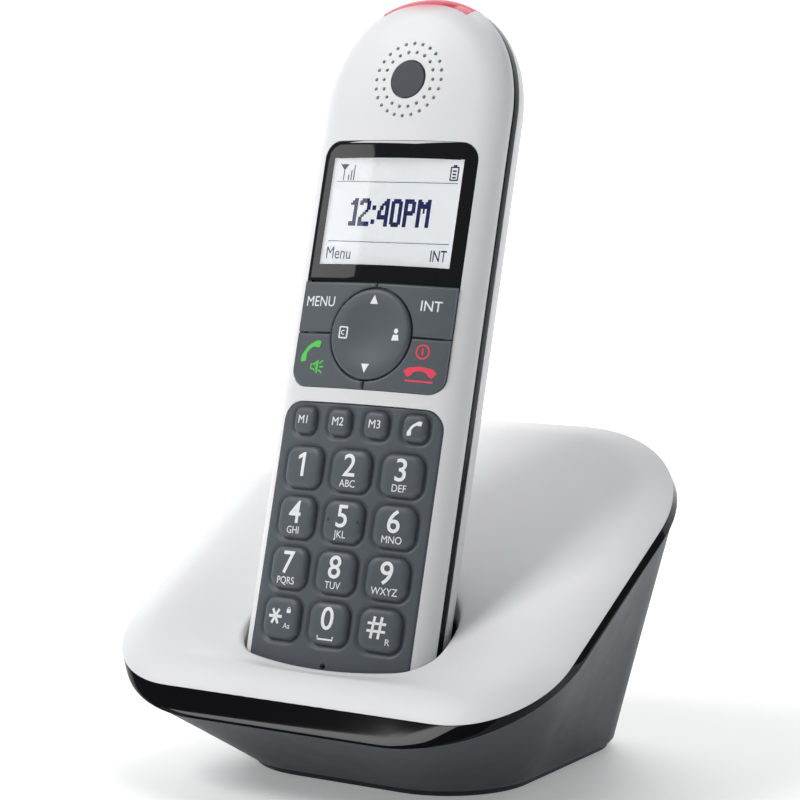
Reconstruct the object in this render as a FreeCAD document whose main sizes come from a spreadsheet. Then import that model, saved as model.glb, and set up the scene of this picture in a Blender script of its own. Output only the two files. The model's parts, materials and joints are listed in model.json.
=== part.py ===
"""Cordless phone: a handset that leans back in a wedge-shaped charging base.

Frame: +Z up, +X to the right of someone facing the keys, +Y towards the back.
The origin is under the middle of the object, on the surface that it stands on.
All sizes are in millimetres and angles in degrees.

Handset pieces are drawn in the handset's own frame: x across, y from the face
towards the back, z along the handset. Its origin is the middle of the earpiece.
The cover and the band are drawn in the rim's frame, which slopes like the rim.
"""
import FreeCAD, Part

import math
import os

import Sketcher

doc = FreeCAD.newDocument("cordless_phone")
sizes = doc.addObject("Spreadsheet::Sheet", "Sizes")

DIMENSIONS = {
    # where the two frames stand
    "ring_y": 1.3,
    "ring_height": 169.0,
    "lean": 15.5,
    "rim_height": 52.75,
    "rim_slope": 29.2,
    # handset shells
    "half_width": 26.35,
    "arch_z": -5.0,
    "end_z": -156.0,
    "end_corner": 12.0,
    "front_depth": 7.2,
    "band_depth": 2.7,
    "rear_depth": 14.0,
    "face_radius": 120.0,
    "back_radius": 40.0,
    "wall": 1.8,
    "hollow_end_z": -146.0,
    "band_width": 3.0,
    "strip_angle": 54.0,
    # earpiece and emblem
    "hole_radius": 0.475,
    "outer_ring": 9.15,
    "inner_ring": 6.92,
    "emblem_radius": 4.75,
    "emblem_depth": 1.0,
    "receiver_radius": 9.6,
    # display
    "window_half": 21.65,
    "window_top": -15.35,
    "window_low": -50.25,
    "window_depth": 0.8,
    "window_corner": 4.4,
    "lcd_half": 19.2,
    "lcd_top": -17.9,
    "lcd_low": -48.6,
    "lcd_front": 2.45,
    "lcd_depth": 1.95,
    # navigation keys
    "nav_low": -76.5,
    "nav_z": -63.0,
    "nav_radius": 11.11,
    "nav_proud": 0.5,
    "nav_depth": 2.6,
    "nav_key_depth": 1.8,
    "nav_pivot_radius": 0.6,
    "nav_pivot_length": 8.0,
    "gap": 0.35,
    # keypad
    "mat_half": 22.48,
    "mat_top": -80.15,
    "mat_low": -147.2,
    "mat_apex": 0.25,
    "mat_depth": 1.8,
    "mat_corner": 5.0,
    "key_width": 10.8,
    "key_length": 10.2,
    "key_corner": 3.0,
    "key_pitch_x": 14.0,
    "key_pitch_z": 12.21,
    "key_row_z": -96.15,
    "small_width": 6.4,
    "small_length": 6.5,
    "small_corner": 2.0,
    "small_pitch": 10.47,
    "small_row_z": -84.74,
    "key_proud": 0.8,
    "key_depth": 3.0,
    "key_gap": 0.45,
    # inside the handset
    "board_front": 4.6,
    "board_depth": 1.0,
    "board_half": 21.5,
    "dome_depth": 0.2,
    "screw_x": 15.0,
    "screw_top_z": 1.0,
    "screw_end_z": -150.0,
    "screw_radius": 0.8,
    "head_radius": 1.6,
    "cell_radius": 5.25,
    "cell_length": 44.5,
    "cell_x": 5.35,
    "cell_y": 15.3,
    "tub_half": 11.3,
    "tub_top": -47.0,
    "tub_low": -99.0,
    "tub_floor": 9.6,
    "tub_wall": 1.2,
    "tub_depth": 12.6,
    "post_wall": 0.9,
    "rear_post_length": 11.6,
    "screw_length": 7.8,
    "screw_head_y": 12.0,
    "slip": 0.15,
    "door_half": 14.3,
    "door_top": -42.0,
    "door_low": -104.0,
    "door_depth": 1.5,
    "contact_x": 9.0,
    "contact_y": 15.0,
    "contact_width": 4.0,
    "contact_depth": 1.2,
    "speaker_z": -22.0,
    "grille_y": 18.0,
    "grille_hole": 0.8,
    "grille_ring": 3.0,
    # base
    "rim_half": 61.6,
    "rim_front": 57.4,
    "rim_back": 56.8,
    "rim_front_corner": 24.0,
    "rim_back_corner": 39.0,
    "cover_height": 3.6,
    "cover_edge": 3.0,
    "cover_wall": 1.8,
    "trim_half": 62.1,
    "trim_front": 64.7,
    "trim_back": 57.3,
    "trim_front_corner": 36.0,
    "trim_back_corner": 39.5,
    "trim_drop": 2.56,
    "foot_half": 38.5,
    "foot_front": 27.8,
    "foot_back": 52.0,
    "foot_front_corner": 23.5,
    "foot_back_corner": 18.0,
    "shell_wall": 2.4,
    "shell_low": 2.0,
    "plate_inset": 1.5,
    "plate_low": 0.6,
    "foot_pad_radius": 4.0,
    "foot_pad_x": 26.0,
    "foot_pad_front": 10.0,
    "foot_pad_back": 42.0,
    "base_post_radius": 2.6,
    "base_post_height": 6.0,
    "base_head": 0.5,
    "well_gap": 1.3,
    "well_wall": 1.8,
    "well_floor": 2.0,
    "pin_radius": 0.9,
    "pin_length": 7.0,
    "jack_x": 12.0,
    "jack_low": 9.6,
    "page_z": 45.0,
    "page_radius": 5.0,
}

for row, (alias, number) in enumerate(DIMENSIONS.items(), start=1):
    sizes.set("A%d" % row, alias)
    sizes.set("B%d" % row, str(number))
    sizes.setAlias("B%d" % row, alias)
doc.recompute()

HANDSET = ("placement(vector(0; Sizes.ring_y; Sizes.ring_height);"
           " rotation(vector(1; 0; 0); -Sizes.lean))")
RIM = ("placement(vector(0; Sizes.ring_y; Sizes.rim_height);"
       " rotation(vector(1; 0; 0); Sizes.rim_slope))")
RIM_DROP = "(Sizes.ring_height - Sizes.rim_height)"
nodes = []


def s(expression):
    """Spell out the sheet's name in front of every alias in a short expression."""
    words = "".join(c if c.isalnum() or c == "_" else " " for c in expression).split()
    for word in sorted(set(words), key=len, reverse=True):
        if word in DIMENSIONS:
            pieces = []
            rest = expression
            while word in rest:
                start = rest.index(word)
                before = rest[start - 1] if start else " "
                after = rest[start + len(word):start + len(word) + 1] or " "
                whole = not (before.isalnum() or before in "_.")
                whole = whole and not (after.isalnum() or after == "_")
                pieces.append(rest[:start] + ("Sizes." if whole else "") + word)
                rest = rest[start + len(word):]
            expression = "".join(pieces) + rest
    return expression


def value(expression):
    """The number that a short expression has now."""
    return float(sizes.evalExpression(s(expression)))


def keep(label, obj):
    """Name a finished sub-part; its label becomes the file's name."""
    obj.Label = label
    nodes.append(obj)
    return obj


def new_body(label, placement=None):
    """Start a PartDesign body for one node."""
    body = doc.addObject("PartDesign::Body", "Body_" + label)
    if placement:
        body.setExpression("Placement", placement)
    return keep(label, body)


def new_sketch(body, plane, offset="0", tilted=None):
    """Sketch on one of the body's origin planes, offset along its normal or tilted."""
    sketch = body.newObject("Sketcher::SketchObject", "Sketch")
    origin_plane = [p for p in body.Origin.OriginFeatures if p.Role == plane + "_Plane"][0]
    sketch.AttachmentSupport = [(origin_plane, "")]
    sketch.MapMode = "FlatFace"
    if tilted:
        sketch.setExpression("AttachmentOffset", tilted)
    else:
        sketch.setExpression("AttachmentOffset.Base.z", s(offset))
    return sketch


def dimension(sketch, kind, places, expression):
    """Add one dimension and bind it to the sheet."""
    constraint = Sketcher.Constraint(kind, *places, value(expression))
    index = sketch.addConstraint(constraint)
    sketch.setExpression("Constraints[%d]" % index, s(expression))


def place_point(sketch, geometry, position, x, y):
    """Fix one point of a sketch at x, y from the origin."""
    for kind, expression, axis in (("DistanceX", x, -2), ("DistanceY", y, -1)):
        if abs(value(expression)) < 1e-9:
            sketch.addConstraint(Sketcher.Constraint("PointOnObject", geometry, position, axis))
        else:
            dimension(sketch, kind, (-1, 1, geometry, position), expression)


def arc(x, y, radius, start, end):
    """Arc geometry from start to end, in degrees, anticlockwise."""
    circle = Part.Circle(FreeCAD.Vector(x, y, 0), FreeCAD.Vector(0, 0, 1), radius)
    return Part.ArcOfCircle(circle, math.radians(start), math.radians(end))


def line(x0, y0, x1, y1):
    return Part.LineSegment(FreeCAD.Vector(x0, y0, 0), FreeCAD.Vector(x1, y1, 0))


def add_loop(sketch, shapes, smooth):
    """Add a closed loop; smooth says which joints are tangent, the rest just meet."""
    first = sketch.GeometryCount
    for shape in shapes:
        sketch.addGeometry(shape)
    count = len(shapes)
    for i in range(count):
        kind = "Tangent" if smooth[i] else "Coincident"
        after = first + (i + 1) % count
        sketch.addConstraint(Sketcher.Constraint(kind, first + i, 2, after, 1))
    return first


def add_circle(sketch, x, y, radius):
    centre = FreeCAD.Vector(value(x), value(y), 0)
    index = sketch.addGeometry(Part.Circle(centre, FreeCAD.Vector(0, 0, 1), value(radius)))
    dimension(sketch, "Radius", (index,), radius)
    place_point(sketch, index, 3, x, y)


def add_rectangle(sketch, left, right, low, high):
    x0, x1, y0, y1 = value(left), value(right), value(low), value(high)
    sides = [line(x0, y0, x1, y0), line(x1, y0, x1, y1), line(x1, y1, x0, y1),
             line(x0, y1, x0, y0)]
    first = add_loop(sketch, sides, [False] * 4)
    for i, kind in enumerate(("Horizontal", "Vertical", "Horizontal", "Vertical")):
        sketch.addConstraint(Sketcher.Constraint(kind, first + i))
    place_point(sketch, first, 1, left, low)
    place_point(sketch, first + 2, 1, right, high)


def add_rounded(sketch, left, right, low, high, low_radius, high_radius=None):
    """Rounded rectangle with one radius for its low corners and one for its high ones."""
    high_radius = high_radius or low_radius
    x0, x1, y0, y1 = value(left), value(right), value(low), value(high)
    a, b = value(low_radius), value(high_radius)
    shapes = [
        line(x0 + a, y0, x1 - a, y0), arc(x1 - a, y0 + a, a, 270, 360),
        line(x1, y0 + a, x1, y1 - b), arc(x1 - b, y1 - b, b, 0, 90),
        line(x1 - b, y1, x0 + b, y1), arc(x0 + b, y1 - b, b, 90, 180),
        line(x0, y1 - b, x0, y0 + a), arc(x0 + a, y0 + a, a, 180, 270),
    ]
    first = add_loop(sketch, shapes, [True] * 8)
    for i, kind in enumerate(("Horizontal", "Vertical", "Horizontal", "Vertical")):
        sketch.addConstraint(Sketcher.Constraint(kind, first + 2 * i))
    for i, radius in enumerate((low_radius, high_radius, high_radius, low_radius)):
        dimension(sketch, "Radius", (first + 2 * i + 1,), radius)
    dimension(sketch, "DistanceY", (-1, 1, first, 1), low)
    dimension(sketch, "DistanceX", (-1, 1, first + 2, 1), right)
    dimension(sketch, "DistanceY", (-1, 1, first + 4, 1), high)
    dimension(sketch, "DistanceX", (-1, 1, first + 6, 1), left)


def add_arch(sketch, half, arch, low, corner):
    """Outline of the handset: a half-circle top, straight sides and rounded low corners."""
    w, c, y0, a = value(half), value(arch), value(low), value(corner)
    shapes = [
        line(w, y0 + a, w, c), arc(0, c, w, 0, 180), line(-w, c, -w, y0 + a),
        arc(-w + a, y0 + a, a, 180, 270), line(-w + a, y0, w - a, y0),
        arc(w - a, y0 + a, a, 270, 360),
    ]
    first = add_loop(sketch, shapes, [True] * 6)
    for i, kind in ((0, "Vertical"), (2, "Vertical"), (4, "Horizontal")):
        sketch.addConstraint(Sketcher.Constraint(kind, first + i))
    dimension(sketch, "DistanceX", (-1, 1, first, 1), half)
    dimension(sketch, "DistanceX", (-1, 1, first + 2, 1), "-(%s)" % half)
    dimension(sketch, "DistanceY", (-1, 1, first + 1, 3), arch)
    dimension(sketch, "DistanceY", (-1, 1, first + 4, 1), low)
    dimension(sketch, "Radius", (first + 3,), corner)
    dimension(sketch, "Radius", (first + 5,), corner)


def edge_radius(half, depth, radius):
    """Radius of the side arcs that join a crown arc to the vertical sides."""
    return (2 * radius * depth - half ** 2 - depth ** 2) / (2 * (radius - half))


def crown_shapes(half, split, apex, radius, half_only=False):
    """Section of a shell: a flat split line, two side arcs and a crown arc."""
    depth = abs(apex - split)
    side = edge_radius(half, depth, radius)
    turn = math.degrees(math.atan2(radius - depth, half - side))
    if apex > split:
        centre = apex - radius
        right = arc(half - side, split, side, 0, turn)
        left = arc(side - half, split, side, 180 - turn, 180)
        if half_only:
            return [line(0, split, half, split), right, arc(0, centre, radius, turn, 90),
                    line(0, apex, 0, split)]
        return [line(-half, split, half, split), right,
                arc(0, centre, radius, turn, 180 - turn), left]
    centre = apex + radius
    right = arc(half - side, split, side, -turn, 0)
    left = arc(side - half, split, side, 180, 180 + turn)
    if half_only:
        return [line(half, split, 0, split), line(0, split, 0, apex),
                arc(0, centre, radius, -90, -turn), right]
    return [line(half, split, -half, split), left,
            arc(0, centre, radius, 180 + turn, 360 - turn), right]


def add_crown(sketch, half, split, apex, radius):
    """Whole crowned section, dimensioned from the sheet."""
    numbers = [value(e) for e in (half, split, apex, radius)]
    first = add_loop(sketch, crown_shapes(*numbers), [False, True, True, False])
    upward = numbers[2] > numbers[1]
    start, end = ("-(%s)" % half, half) if upward else (half, "-(%s)" % half)
    sketch.addConstraint(Sketcher.Constraint("Horizontal", first))
    for i in (1, 3):
        sketch.addConstraint(Sketcher.Constraint("PointOnObject", first + i, 3, first))
    sketch.addConstraint(Sketcher.Constraint("PointOnObject", first + 2, 3, -2))
    dimension(sketch, "DistanceX", (-1, 1, first, 1), start)
    dimension(sketch, "DistanceX", (-1, 1, first, 2), end)
    dimension(sketch, "DistanceY", (-1, 1, first, 1), split)
    dimension(sketch, "Radius", (first + 2,), radius)
    sign = "-" if upward else "+"
    dimension(sketch, "DistanceY", (-1, 1, first + 2, 3), "%s %s (%s)" % (apex, sign, radius))


def add_half_crown(sketch, half, split, apex, radius):
    """Right half of the section, to turn about the sketch's vertical axis."""
    numbers = [value(e) for e in (half, split, apex, radius)]
    upward = numbers[2] > numbers[1]
    smooth = [False, True, False, False] if upward else [False, False, True, False]
    flat, side, crown = (0, 1, 2) if upward else (0, 3, 2)
    first = add_loop(sketch, crown_shapes(*numbers, half_only=True), smooth)
    on_axis = (first, 1) if upward else (first, 2)
    at_side = (first, 2) if upward else (first, 1)
    axis_line = first + 3 if upward else first + 1
    sketch.addConstraint(Sketcher.Constraint("Horizontal", first + flat))
    sketch.addConstraint(Sketcher.Constraint("Vertical", axis_line))
    sketch.addConstraint(Sketcher.Constraint("PointOnObject", on_axis[0], on_axis[1], -2))
    sketch.addConstraint(Sketcher.Constraint("PointOnObject", first + side, 3, first + flat))
    sketch.addConstraint(Sketcher.Constraint("PointOnObject", first + crown, 3, -2))
    dimension(sketch, "DistanceX", (-1, 1, at_side[0], at_side[1]), half)
    dimension(sketch, "DistanceY", (-1, 1, first, 1), split)
    dimension(sketch, "Radius", (first + crown,), radius)
    sign = "-" if upward else "+"
    dimension(sketch, "DistanceY", (-1, 1, first + crown, 3), "%s %s (%s)" % (apex, sign, radius))


def add_strip(sketch, half, apex, radius, depth, outward):
    """Section of a plate that follows a crown: outward is -1 for the face, +1 for the back."""
    w, a, r, d = value(half), value(apex), value(radius), value(depth)
    inner = r - d
    outer_turn = math.degrees(math.acos(w / r))
    inner_turn = math.degrees(math.acos(w / inner))
    centre = a - outward * r
    outer_y = centre + outward * math.sqrt(r * r - w * w)
    inner_y = centre + outward * math.sqrt(inner * inner - w * w)
    if outward > 0:
        shapes = [arc(0, centre, r, outer_turn, 180 - outer_turn), line(-w, outer_y, -w, inner_y),
                  arc(0, centre, inner, inner_turn, 180 - inner_turn), line(w, inner_y, w, outer_y)]
    else:
        shapes = [arc(0, centre, r, 180 + outer_turn, 360 - outer_turn), line(w, outer_y, w, inner_y),
                  arc(0, centre, inner, 180 + inner_turn, 360 - inner_turn),
                  line(-w, inner_y, -w, outer_y)]
    first = sketch.GeometryCount
    for shape in shapes:
        sketch.addGeometry(shape)
    meets = (((0, 2), (1, 1)), ((1, 2), (2, 2)), ((2, 1), (3, 1)), ((3, 2), (0, 1)))
    for (one, one_end), (two, two_end) in meets:
        sketch.addConstraint(
            Sketcher.Constraint("Coincident", first + one, one_end, first + two, two_end))
    for i in (1, 3):
        sketch.addConstraint(Sketcher.Constraint("Vertical", first + i))
    for i in (0, 2):
        sketch.addConstraint(Sketcher.Constraint("PointOnObject", first + i, 3, -2))
    sign = "-" if outward > 0 else "+"
    middle = "%s %s (%s)" % (apex, sign, radius)
    for i in (0, 2):
        dimension(sketch, "DistanceY", (-1, 1, first + i, 3), middle)
    dimension(sketch, "Radius", (first,), radius)
    dimension(sketch, "Radius", (first + 2,), "%s - (%s)" % (radius, depth))
    right = first + 3 if outward > 0 else first + 1
    left = first + 1 if outward > 0 else first + 3
    dimension(sketch, "DistanceX", (-1, 1, right, 1), half)
    dimension(sketch, "DistanceX", (-1, 1, left, 1), "-(%s)" % half)


def volume_of(body):
    return body.Shape.Volume if body.Tip else 0.0


def add_feature(body, kind, sketch, **settings):
    """Add one PartDesign feature, and check that it adds or removes material."""
    before = volume_of(body)
    feature = body.newObject("PartDesign::" + kind, kind)
    feature.Profile = sketch
    for name, setting in settings.items():
        if isinstance(setting, str) and name in ("Length", "Angle"):
            feature.setExpression(name, s(setting))
        else:
            setattr(feature, name, setting)
    body.Tip = feature
    sketch.Visibility = False
    doc.recompute()
    cuts = kind in ("Pocket", "Groove", "SubtractiveLoft")
    change = volume_of(body) - before
    if (change < -1e-6) != cuts or abs(change) < 1e-6:
        raise RuntimeError("%s of %s changes its volume by %.3f" % (kind, body.Label, change))
    return feature


def pad(body, sketch, length, reverse=False):
    return add_feature(body, "Pad", sketch, Length=length, Reversed=reverse)


def pocket(body, sketch, length, reverse=False):
    return add_feature(body, "Pocket", sketch, Length=length, Reversed=reverse)


def turn(body, kind, sketch, angle, axis="V_Axis", reverse=False, middle=False):
    return add_feature(body, kind, sketch, ReferenceAxis=(sketch, [axis]), Angle=angle,
                       Reversed=reverse, Midplane=middle)


def loft(body, kind, one, other):
    return add_feature(body, kind, one, Sections=[other], Ruled=True)


def pattern(body, feature, sketch, count):
    """Repeat a feature round the sketch's normal."""
    around = body.newObject("PartDesign::PolarPattern", "PolarPattern")
    around.Originals = [feature]
    around.Axis = (sketch, ["N_Axis"])
    around.Angle = 360
    around.Occurrences = count
    body.Tip = around
    doc.recompute()


def fillet(body, radius, chosen):
    """Round the edges of the newest feature that chosen(edge) picks."""
    feature = body.Tip
    names = ["Edge%d" % (i + 1) for i, edge in enumerate(feature.Shape.Edges) if chosen(edge)]
    rounding = body.newObject("PartDesign::Fillet", "Fillet")
    rounding.Base = (feature, names)
    rounding.setExpression("Radius", s(radius))
    body.Tip = rounding
    doc.recompute()


def along(edge, axis, length=0.0):
    """True for a straight edge that runs along one axis and is longer than length."""
    box = edge.BoundBox
    spans = {"x": box.XLength, "y": box.YLength, "z": box.ZLength}
    across = [span for name, span in spans.items() if name != axis]
    return max(across) < 1e-4 and spans[axis] > length


def box(label, x, y, z, placement=None):
    """Block from three (low, high) pairs of expressions."""
    piece = doc.addObject("Part::Box", "Box_" + label)
    for name, (low, high) in (("Length", x), ("Width", y), ("Height", z)):
        piece.setExpression(name, s("(%s) - (%s)" % (high, low)))
    corner = "placement(vector(%s; %s; %s); rotation(vector(1; 0; 0); 0))"
    corner = corner % (s(x[0]), s(y[0]), s(z[0]))
    piece.setExpression("Placement", "%s * %s" % (placement, corner) if placement else corner)
    return piece


def rod(label, x, y, z, radius, length, axis="z", placement=None):
    """Cylinder that starts at x, y, z and runs along +z, +y or -y."""
    piece = doc.addObject("Part::Cylinder", "Rod_" + label)
    piece.setExpression("Radius", s(radius))
    piece.setExpression("Height", s(length))
    angle = {"z": "0", "+y": "-90", "-y": "90"}[axis]
    local = "placement(vector(%s; %s; %s); rotation(vector(1; 0; 0); %s))"
    local = local % (s(x), s(y), s(z), angle)
    piece.setExpression("Placement", "%s * %s" % (placement, local) if placement else local)
    return piece


def group(label, pieces):
    """One node from several separate or joined solids."""
    joined = doc.addObject("Part::MultiFuse", "Group_" + label)
    joined.Shapes = pieces
    return keep(label, joined)


# ---------------------------------------------------------------- handset shells

def shell_half(body, split, apex, radius, inset="0"):
    """Solid or hollow of one handset half: a prism below the arch and half a dome above it."""
    solid = inset == "0"
    outward = value(apex) > value(split)
    inner_apex = "%s %s %s" % (apex, "-" if outward else "+", inset)
    section = ("half_width - %s" % inset, split, inner_apex, "%s - %s" % (radius, inset))
    end = "end_z" if solid else "hollow_end_z"
    prism = new_sketch(body, "XY", "arch_z")
    add_crown(prism, *section)
    add_feature(body, "Pad" if solid else "Pocket", prism, Length="arch_z - %s" % end,
                Reversed=solid)
    dome = new_sketch(body, "XY", "arch_z")
    add_half_crown(dome, *section)
    turn(body, "Revolution" if solid else "Groove", dome, "180", reverse=True)


def cut_end_corners(body):
    """Round the two low corners of a handset half in its outline."""
    sketch = new_sketch(body, "XZ", "5")
    add_rectangle(sketch, "-half_width - 8", "half_width + 8", "end_z - 8", "60")
    add_rounded(sketch, "-half_width - 0.01", "half_width + 0.01", "end_z", "50",
                "end_corner", "wall")
    pocket(body, sketch, "40")


def screw_places():
    for z in ("screw_top_z", "screw_end_z"):
        for x in ("-screw_x", "screw_x"):
            yield x, z


def add_screw_circles(body, depth, radius, places=None):
    sketch = new_sketch(body, "XZ", depth)
    for x, z in places or screw_places():
        add_circle(sketch, x, z, radius)
    return sketch


def make_front_shell():
    body = new_body("handset_front_shell", HANDSET)
    shell_half(body, "front_depth", "0", "face_radius")
    cut_end_corners(body)
    shell_half(body, "front_depth", "0", "face_radius", "wall")
    top_screws = list(screw_places())[:2]
    bosses = add_screw_circles(body, "-front_depth", "head_radius + 0.6", top_screws)
    pad(body, bosses, "front_depth - 2.4")
    pocket(body, add_screw_circles(body, "-front_depth", "screw_radius"), "4", reverse=True)
    opening = new_sketch(body, "XZ", "2")
    add_rounded(opening, "-window_half - slip", "window_half + slip", "nav_low - slip",
                "window_top + slip", "window_corner")
    pocket(body, opening, "20")
    keypad = new_sketch(body, "XZ", "2")
    add_rounded(keypad, "-mat_half - slip", "mat_half + slip", "mat_low - slip",
                "mat_top + slip", "2", "mat_corner")
    pocket(body, keypad, "20")
    emblem = new_sketch(body, "XZ", "2")
    add_circle(emblem, "0", "0", "emblem_radius + slip")
    pocket(body, emblem, "2 + emblem_depth + 0.4")
    for ring, count in (("outer_ring", 24), ("inner_ring", 18)):
        hole = new_sketch(body, "XZ", "2")
        add_circle(hole, ring, "0", "hole_radius")
        pattern(body, pocket(body, hole, "6"), hole, count)


def make_rear_shell():
    body = new_body("handset_rear_shell", HANDSET)
    split = "front_depth + band_depth"
    shell_half(body, split, split + " + rear_depth", "back_radius")
    cut_end_corners(body)
    shell_half(body, split, split + " + rear_depth", "back_radius", "wall")
    tub = new_sketch(body, "XZ", "-(tub_floor - tub_wall)")
    add_rectangle(tub, "-door_half - 0.7", "door_half + 0.7", "door_low - 1", "door_top + 1")
    pad(body, tub, "tub_depth", reverse=True)
    posts = add_screw_circles(body, "-front_depth", "head_radius + post_wall")
    pad(body, posts, "rear_post_length", reverse=True)
    cells = new_sketch(body, "XZ", "-tub_floor")
    add_rectangle(cells, "-tub_half", "tub_half", "tub_low", "tub_top")
    pocket(body, cells, "20")
    recess = new_sketch(body, "XY", "door_top + 0.15")
    add_strip(recess, "door_half + 0.2", split + " + rear_depth + 2", "back_radius + 2",
              "door_depth + 2.15", 1)
    pocket(body, recess, "door_top - door_low + 0.3")
    pocket(body, add_screw_circles(body, "-front_depth + 1", "screw_radius + 0.05"), "30")
    pocket(body, add_screw_circles(body, "-screw_head_y", "head_radius + 0.1"), "20")
    grille = new_sketch(body, "XZ", "-grille_y")
    add_circle(grille, "0", "speaker_z", "grille_hole")
    pocket(body, grille, "10")
    for ring, count in (("grille_ring", 6), ("2 * grille_ring", 12)):
        hole = new_sketch(body, "XZ", "-grille_y")
        hole.setExpression("AttachmentOffset.Base.y", s("speaker_z"))
        add_circle(hole, ring, "0", "grille_hole")
        pattern(body, pocket(body, hole, "10"), hole, count)
    slots = new_sketch(body, "XY", "end_z - 1")
    for side in ("-", ""):
        middle = side + "contact_x"
        add_rectangle(slots, middle + " - contact_width / 2 - 0.05",
                      middle + " + contact_width / 2 + 0.05",
                      "contact_y - 2.05", "contact_y + 2.05")
    pocket(body, slots, "1 + contact_depth", reverse=True)


def make_band_and_strip():
    """Gloss band between the halves, and the light strip let into its arch."""
    split = "-front_depth"
    body = new_body("handset_band", HANDSET)
    outer = new_sketch(body, "XZ", split)
    add_arch(outer, "half_width", "arch_z", "end_z", "end_corner")
    add_arch(outer, "half_width - band_width", "arch_z", "end_z + band_width",
             "end_corner - band_width")
    pad(body, outer, "band_depth", reverse=True)
    strip = new_body("light_strip", HANDSET)
    for piece, kind, spare in ((body, "Groove", 0.3), (strip, "Revolution", 0.0)):
        sketch = new_sketch(piece, "YZ")
        sketch.setExpression("AttachmentOffset.Base.y", s("arch_z"))
        grow = "%s" % (spare * 2)
        add_rectangle(sketch, "front_depth - %s" % grow, "front_depth + band_depth + %s" % grow,
                      "half_width - band_width - %s" % grow, "half_width + %s" % grow)
        turn(piece, kind, sketch, "strip_angle + %s" % spare, axis="H_Axis", middle=True)


def make_door():
    body = new_body("battery_door", HANDSET)
    sketch = new_sketch(body, "XY", "door_top")
    add_strip(sketch, "door_half", "front_depth + band_depth + rear_depth", "back_radius",
              "door_depth", 1)
    pad(body, sketch, "door_top - door_low", reverse=True)


# ---------------------------------------------------------------- handset face

def make_window():
    body = new_body("display_window", HANDSET)
    sketch = new_sketch(body, "XY", "window_top")
    add_strip(sketch, "window_half", "0", "face_radius", "window_depth", -1)
    pad(body, sketch, "window_top - window_low", reverse=True)
    top = value("window_top")
    fillet(body, "window_corner - slip",
           lambda edge: along(edge, "y", 0.1) and abs(edge.BoundBox.ZMax - top) < 1e-3)


def make_nav_keys():
    """Four corner keys round a rocking disc."""
    split = "nav_z"
    corners = {
        "menu_key": (-1, split, "window_low - gap"),
        "intercom_key": (1, split, "window_low - gap"),
        "call_key": (-1, "nav_low", split + " - gap"),
        "end_key": (1, "nav_low", split + " - gap"),
    }
    for label, (side, low, high) in corners.items():
        body = new_body(label, HANDSET)
        sketch = new_sketch(body, "XY", high)
        add_strip(sketch, "window_half", "-0.3", "face_radius", "nav_key_depth", -1)
        pad(body, sketch, "%s - (%s)" % (high, low), reverse=True)
        other_half = new_sketch(body, "XZ", "3")
        edges = ("-gap / 2", "30") if side < 0 else ("-30", "gap / 2")
        add_rectangle(other_half, edges[0], edges[1], "nav_low - 5", "window_low + 5")
        pocket(body, other_half, "12")
        disc = new_sketch(body, "XZ", "3")
        add_circle(disc, "0", "nav_z", "nav_radius + gap")
        pocket(body, disc, "12")
        if low == "nav_low":
            limit = value(low)
            fillet(body, "window_corner - slip",
                   lambda edge: (along(edge, "y", 0.1) and abs(edge.BoundBox.ZMin - limit) < 1e-3
                                 and abs(edge.BoundBox.XMin) > 10))
    body = new_body("nav_disc", HANDSET)
    sketch = new_sketch(body, "XZ", "nav_proud")
    add_circle(sketch, "0", "nav_z", "nav_radius")
    pad(body, sketch, "nav_depth", reverse=True)
    front = -value("nav_proud")
    fillet(body, "0.4", lambda edge: edge.BoundBox.YMax < front + 1e-3 and edge.Closed)
    pivot = new_sketch(body, "YZ", "-nav_pivot_length / 2")
    add_circle(pivot, "nav_depth - nav_proud", "nav_z", "nav_pivot_radius")
    pad(body, pivot, "nav_pivot_length")


def keypad_layout():
    """Every key of the keypad: label, x, z, width, length and corner."""
    rows = (("1", "2", "3"), ("4", "5", "6"), ("7", "8", "9"), ("star", "0", "hash"))
    for row, names in enumerate(rows):
        for column, name in enumerate(names):
            x = "%d * key_pitch_x" % (column - 1)
            z = "key_row_z - %d * key_pitch_z" % row
            yield "key_" + name, x, z, "key_width", "key_length", "key_corner"
    for column, name in enumerate(("memory_1", "memory_2", "memory_3", "recall")):
        x = "%.1f * small_pitch" % (column - 1.5)
        yield "key_" + name, x, "small_row_z", "small_width", "small_length", "small_corner"


def make_keypad():
    mat = new_body("keypad_mat", HANDSET)
    section = new_sketch(mat, "XY", "mat_top")
    add_strip(section, "mat_half", "mat_apex", "face_radius - mat_apex", "mat_depth", -1)
    pad(mat, section, "mat_top - mat_low", reverse=True)
    top = value("mat_top")
    fillet(mat, "mat_corner - slip",
           lambda edge: along(edge, "y", 0.1) and abs(edge.BoundBox.ZMax - top) < 1e-3)
    low = value("mat_low")
    fillet(mat, "2",
           lambda edge: along(edge, "y", 0.1) and abs(edge.BoundBox.ZMin - low) < 1e-3)
    hole = new_sketch(mat, "XZ", "2")
    add_circle(hole, "0", "mat_low + 4.2", "0.5")
    pocket(mat, hole, "9")
    for label, x, z, width, length, corner in keypad_layout():
        opening = new_sketch(mat, "XZ", "2")
        add_rounded(opening, "%s - %s / 2 - key_gap" % (x, width), "%s + %s / 2 + key_gap" % (x, width),
                    "%s - %s / 2 - key_gap" % (z, length), "%s + %s / 2 + key_gap" % (z, length),
                    corner)
        pocket(mat, opening, "9")
        make_key(label, x, z, width, length, corner)


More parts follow.
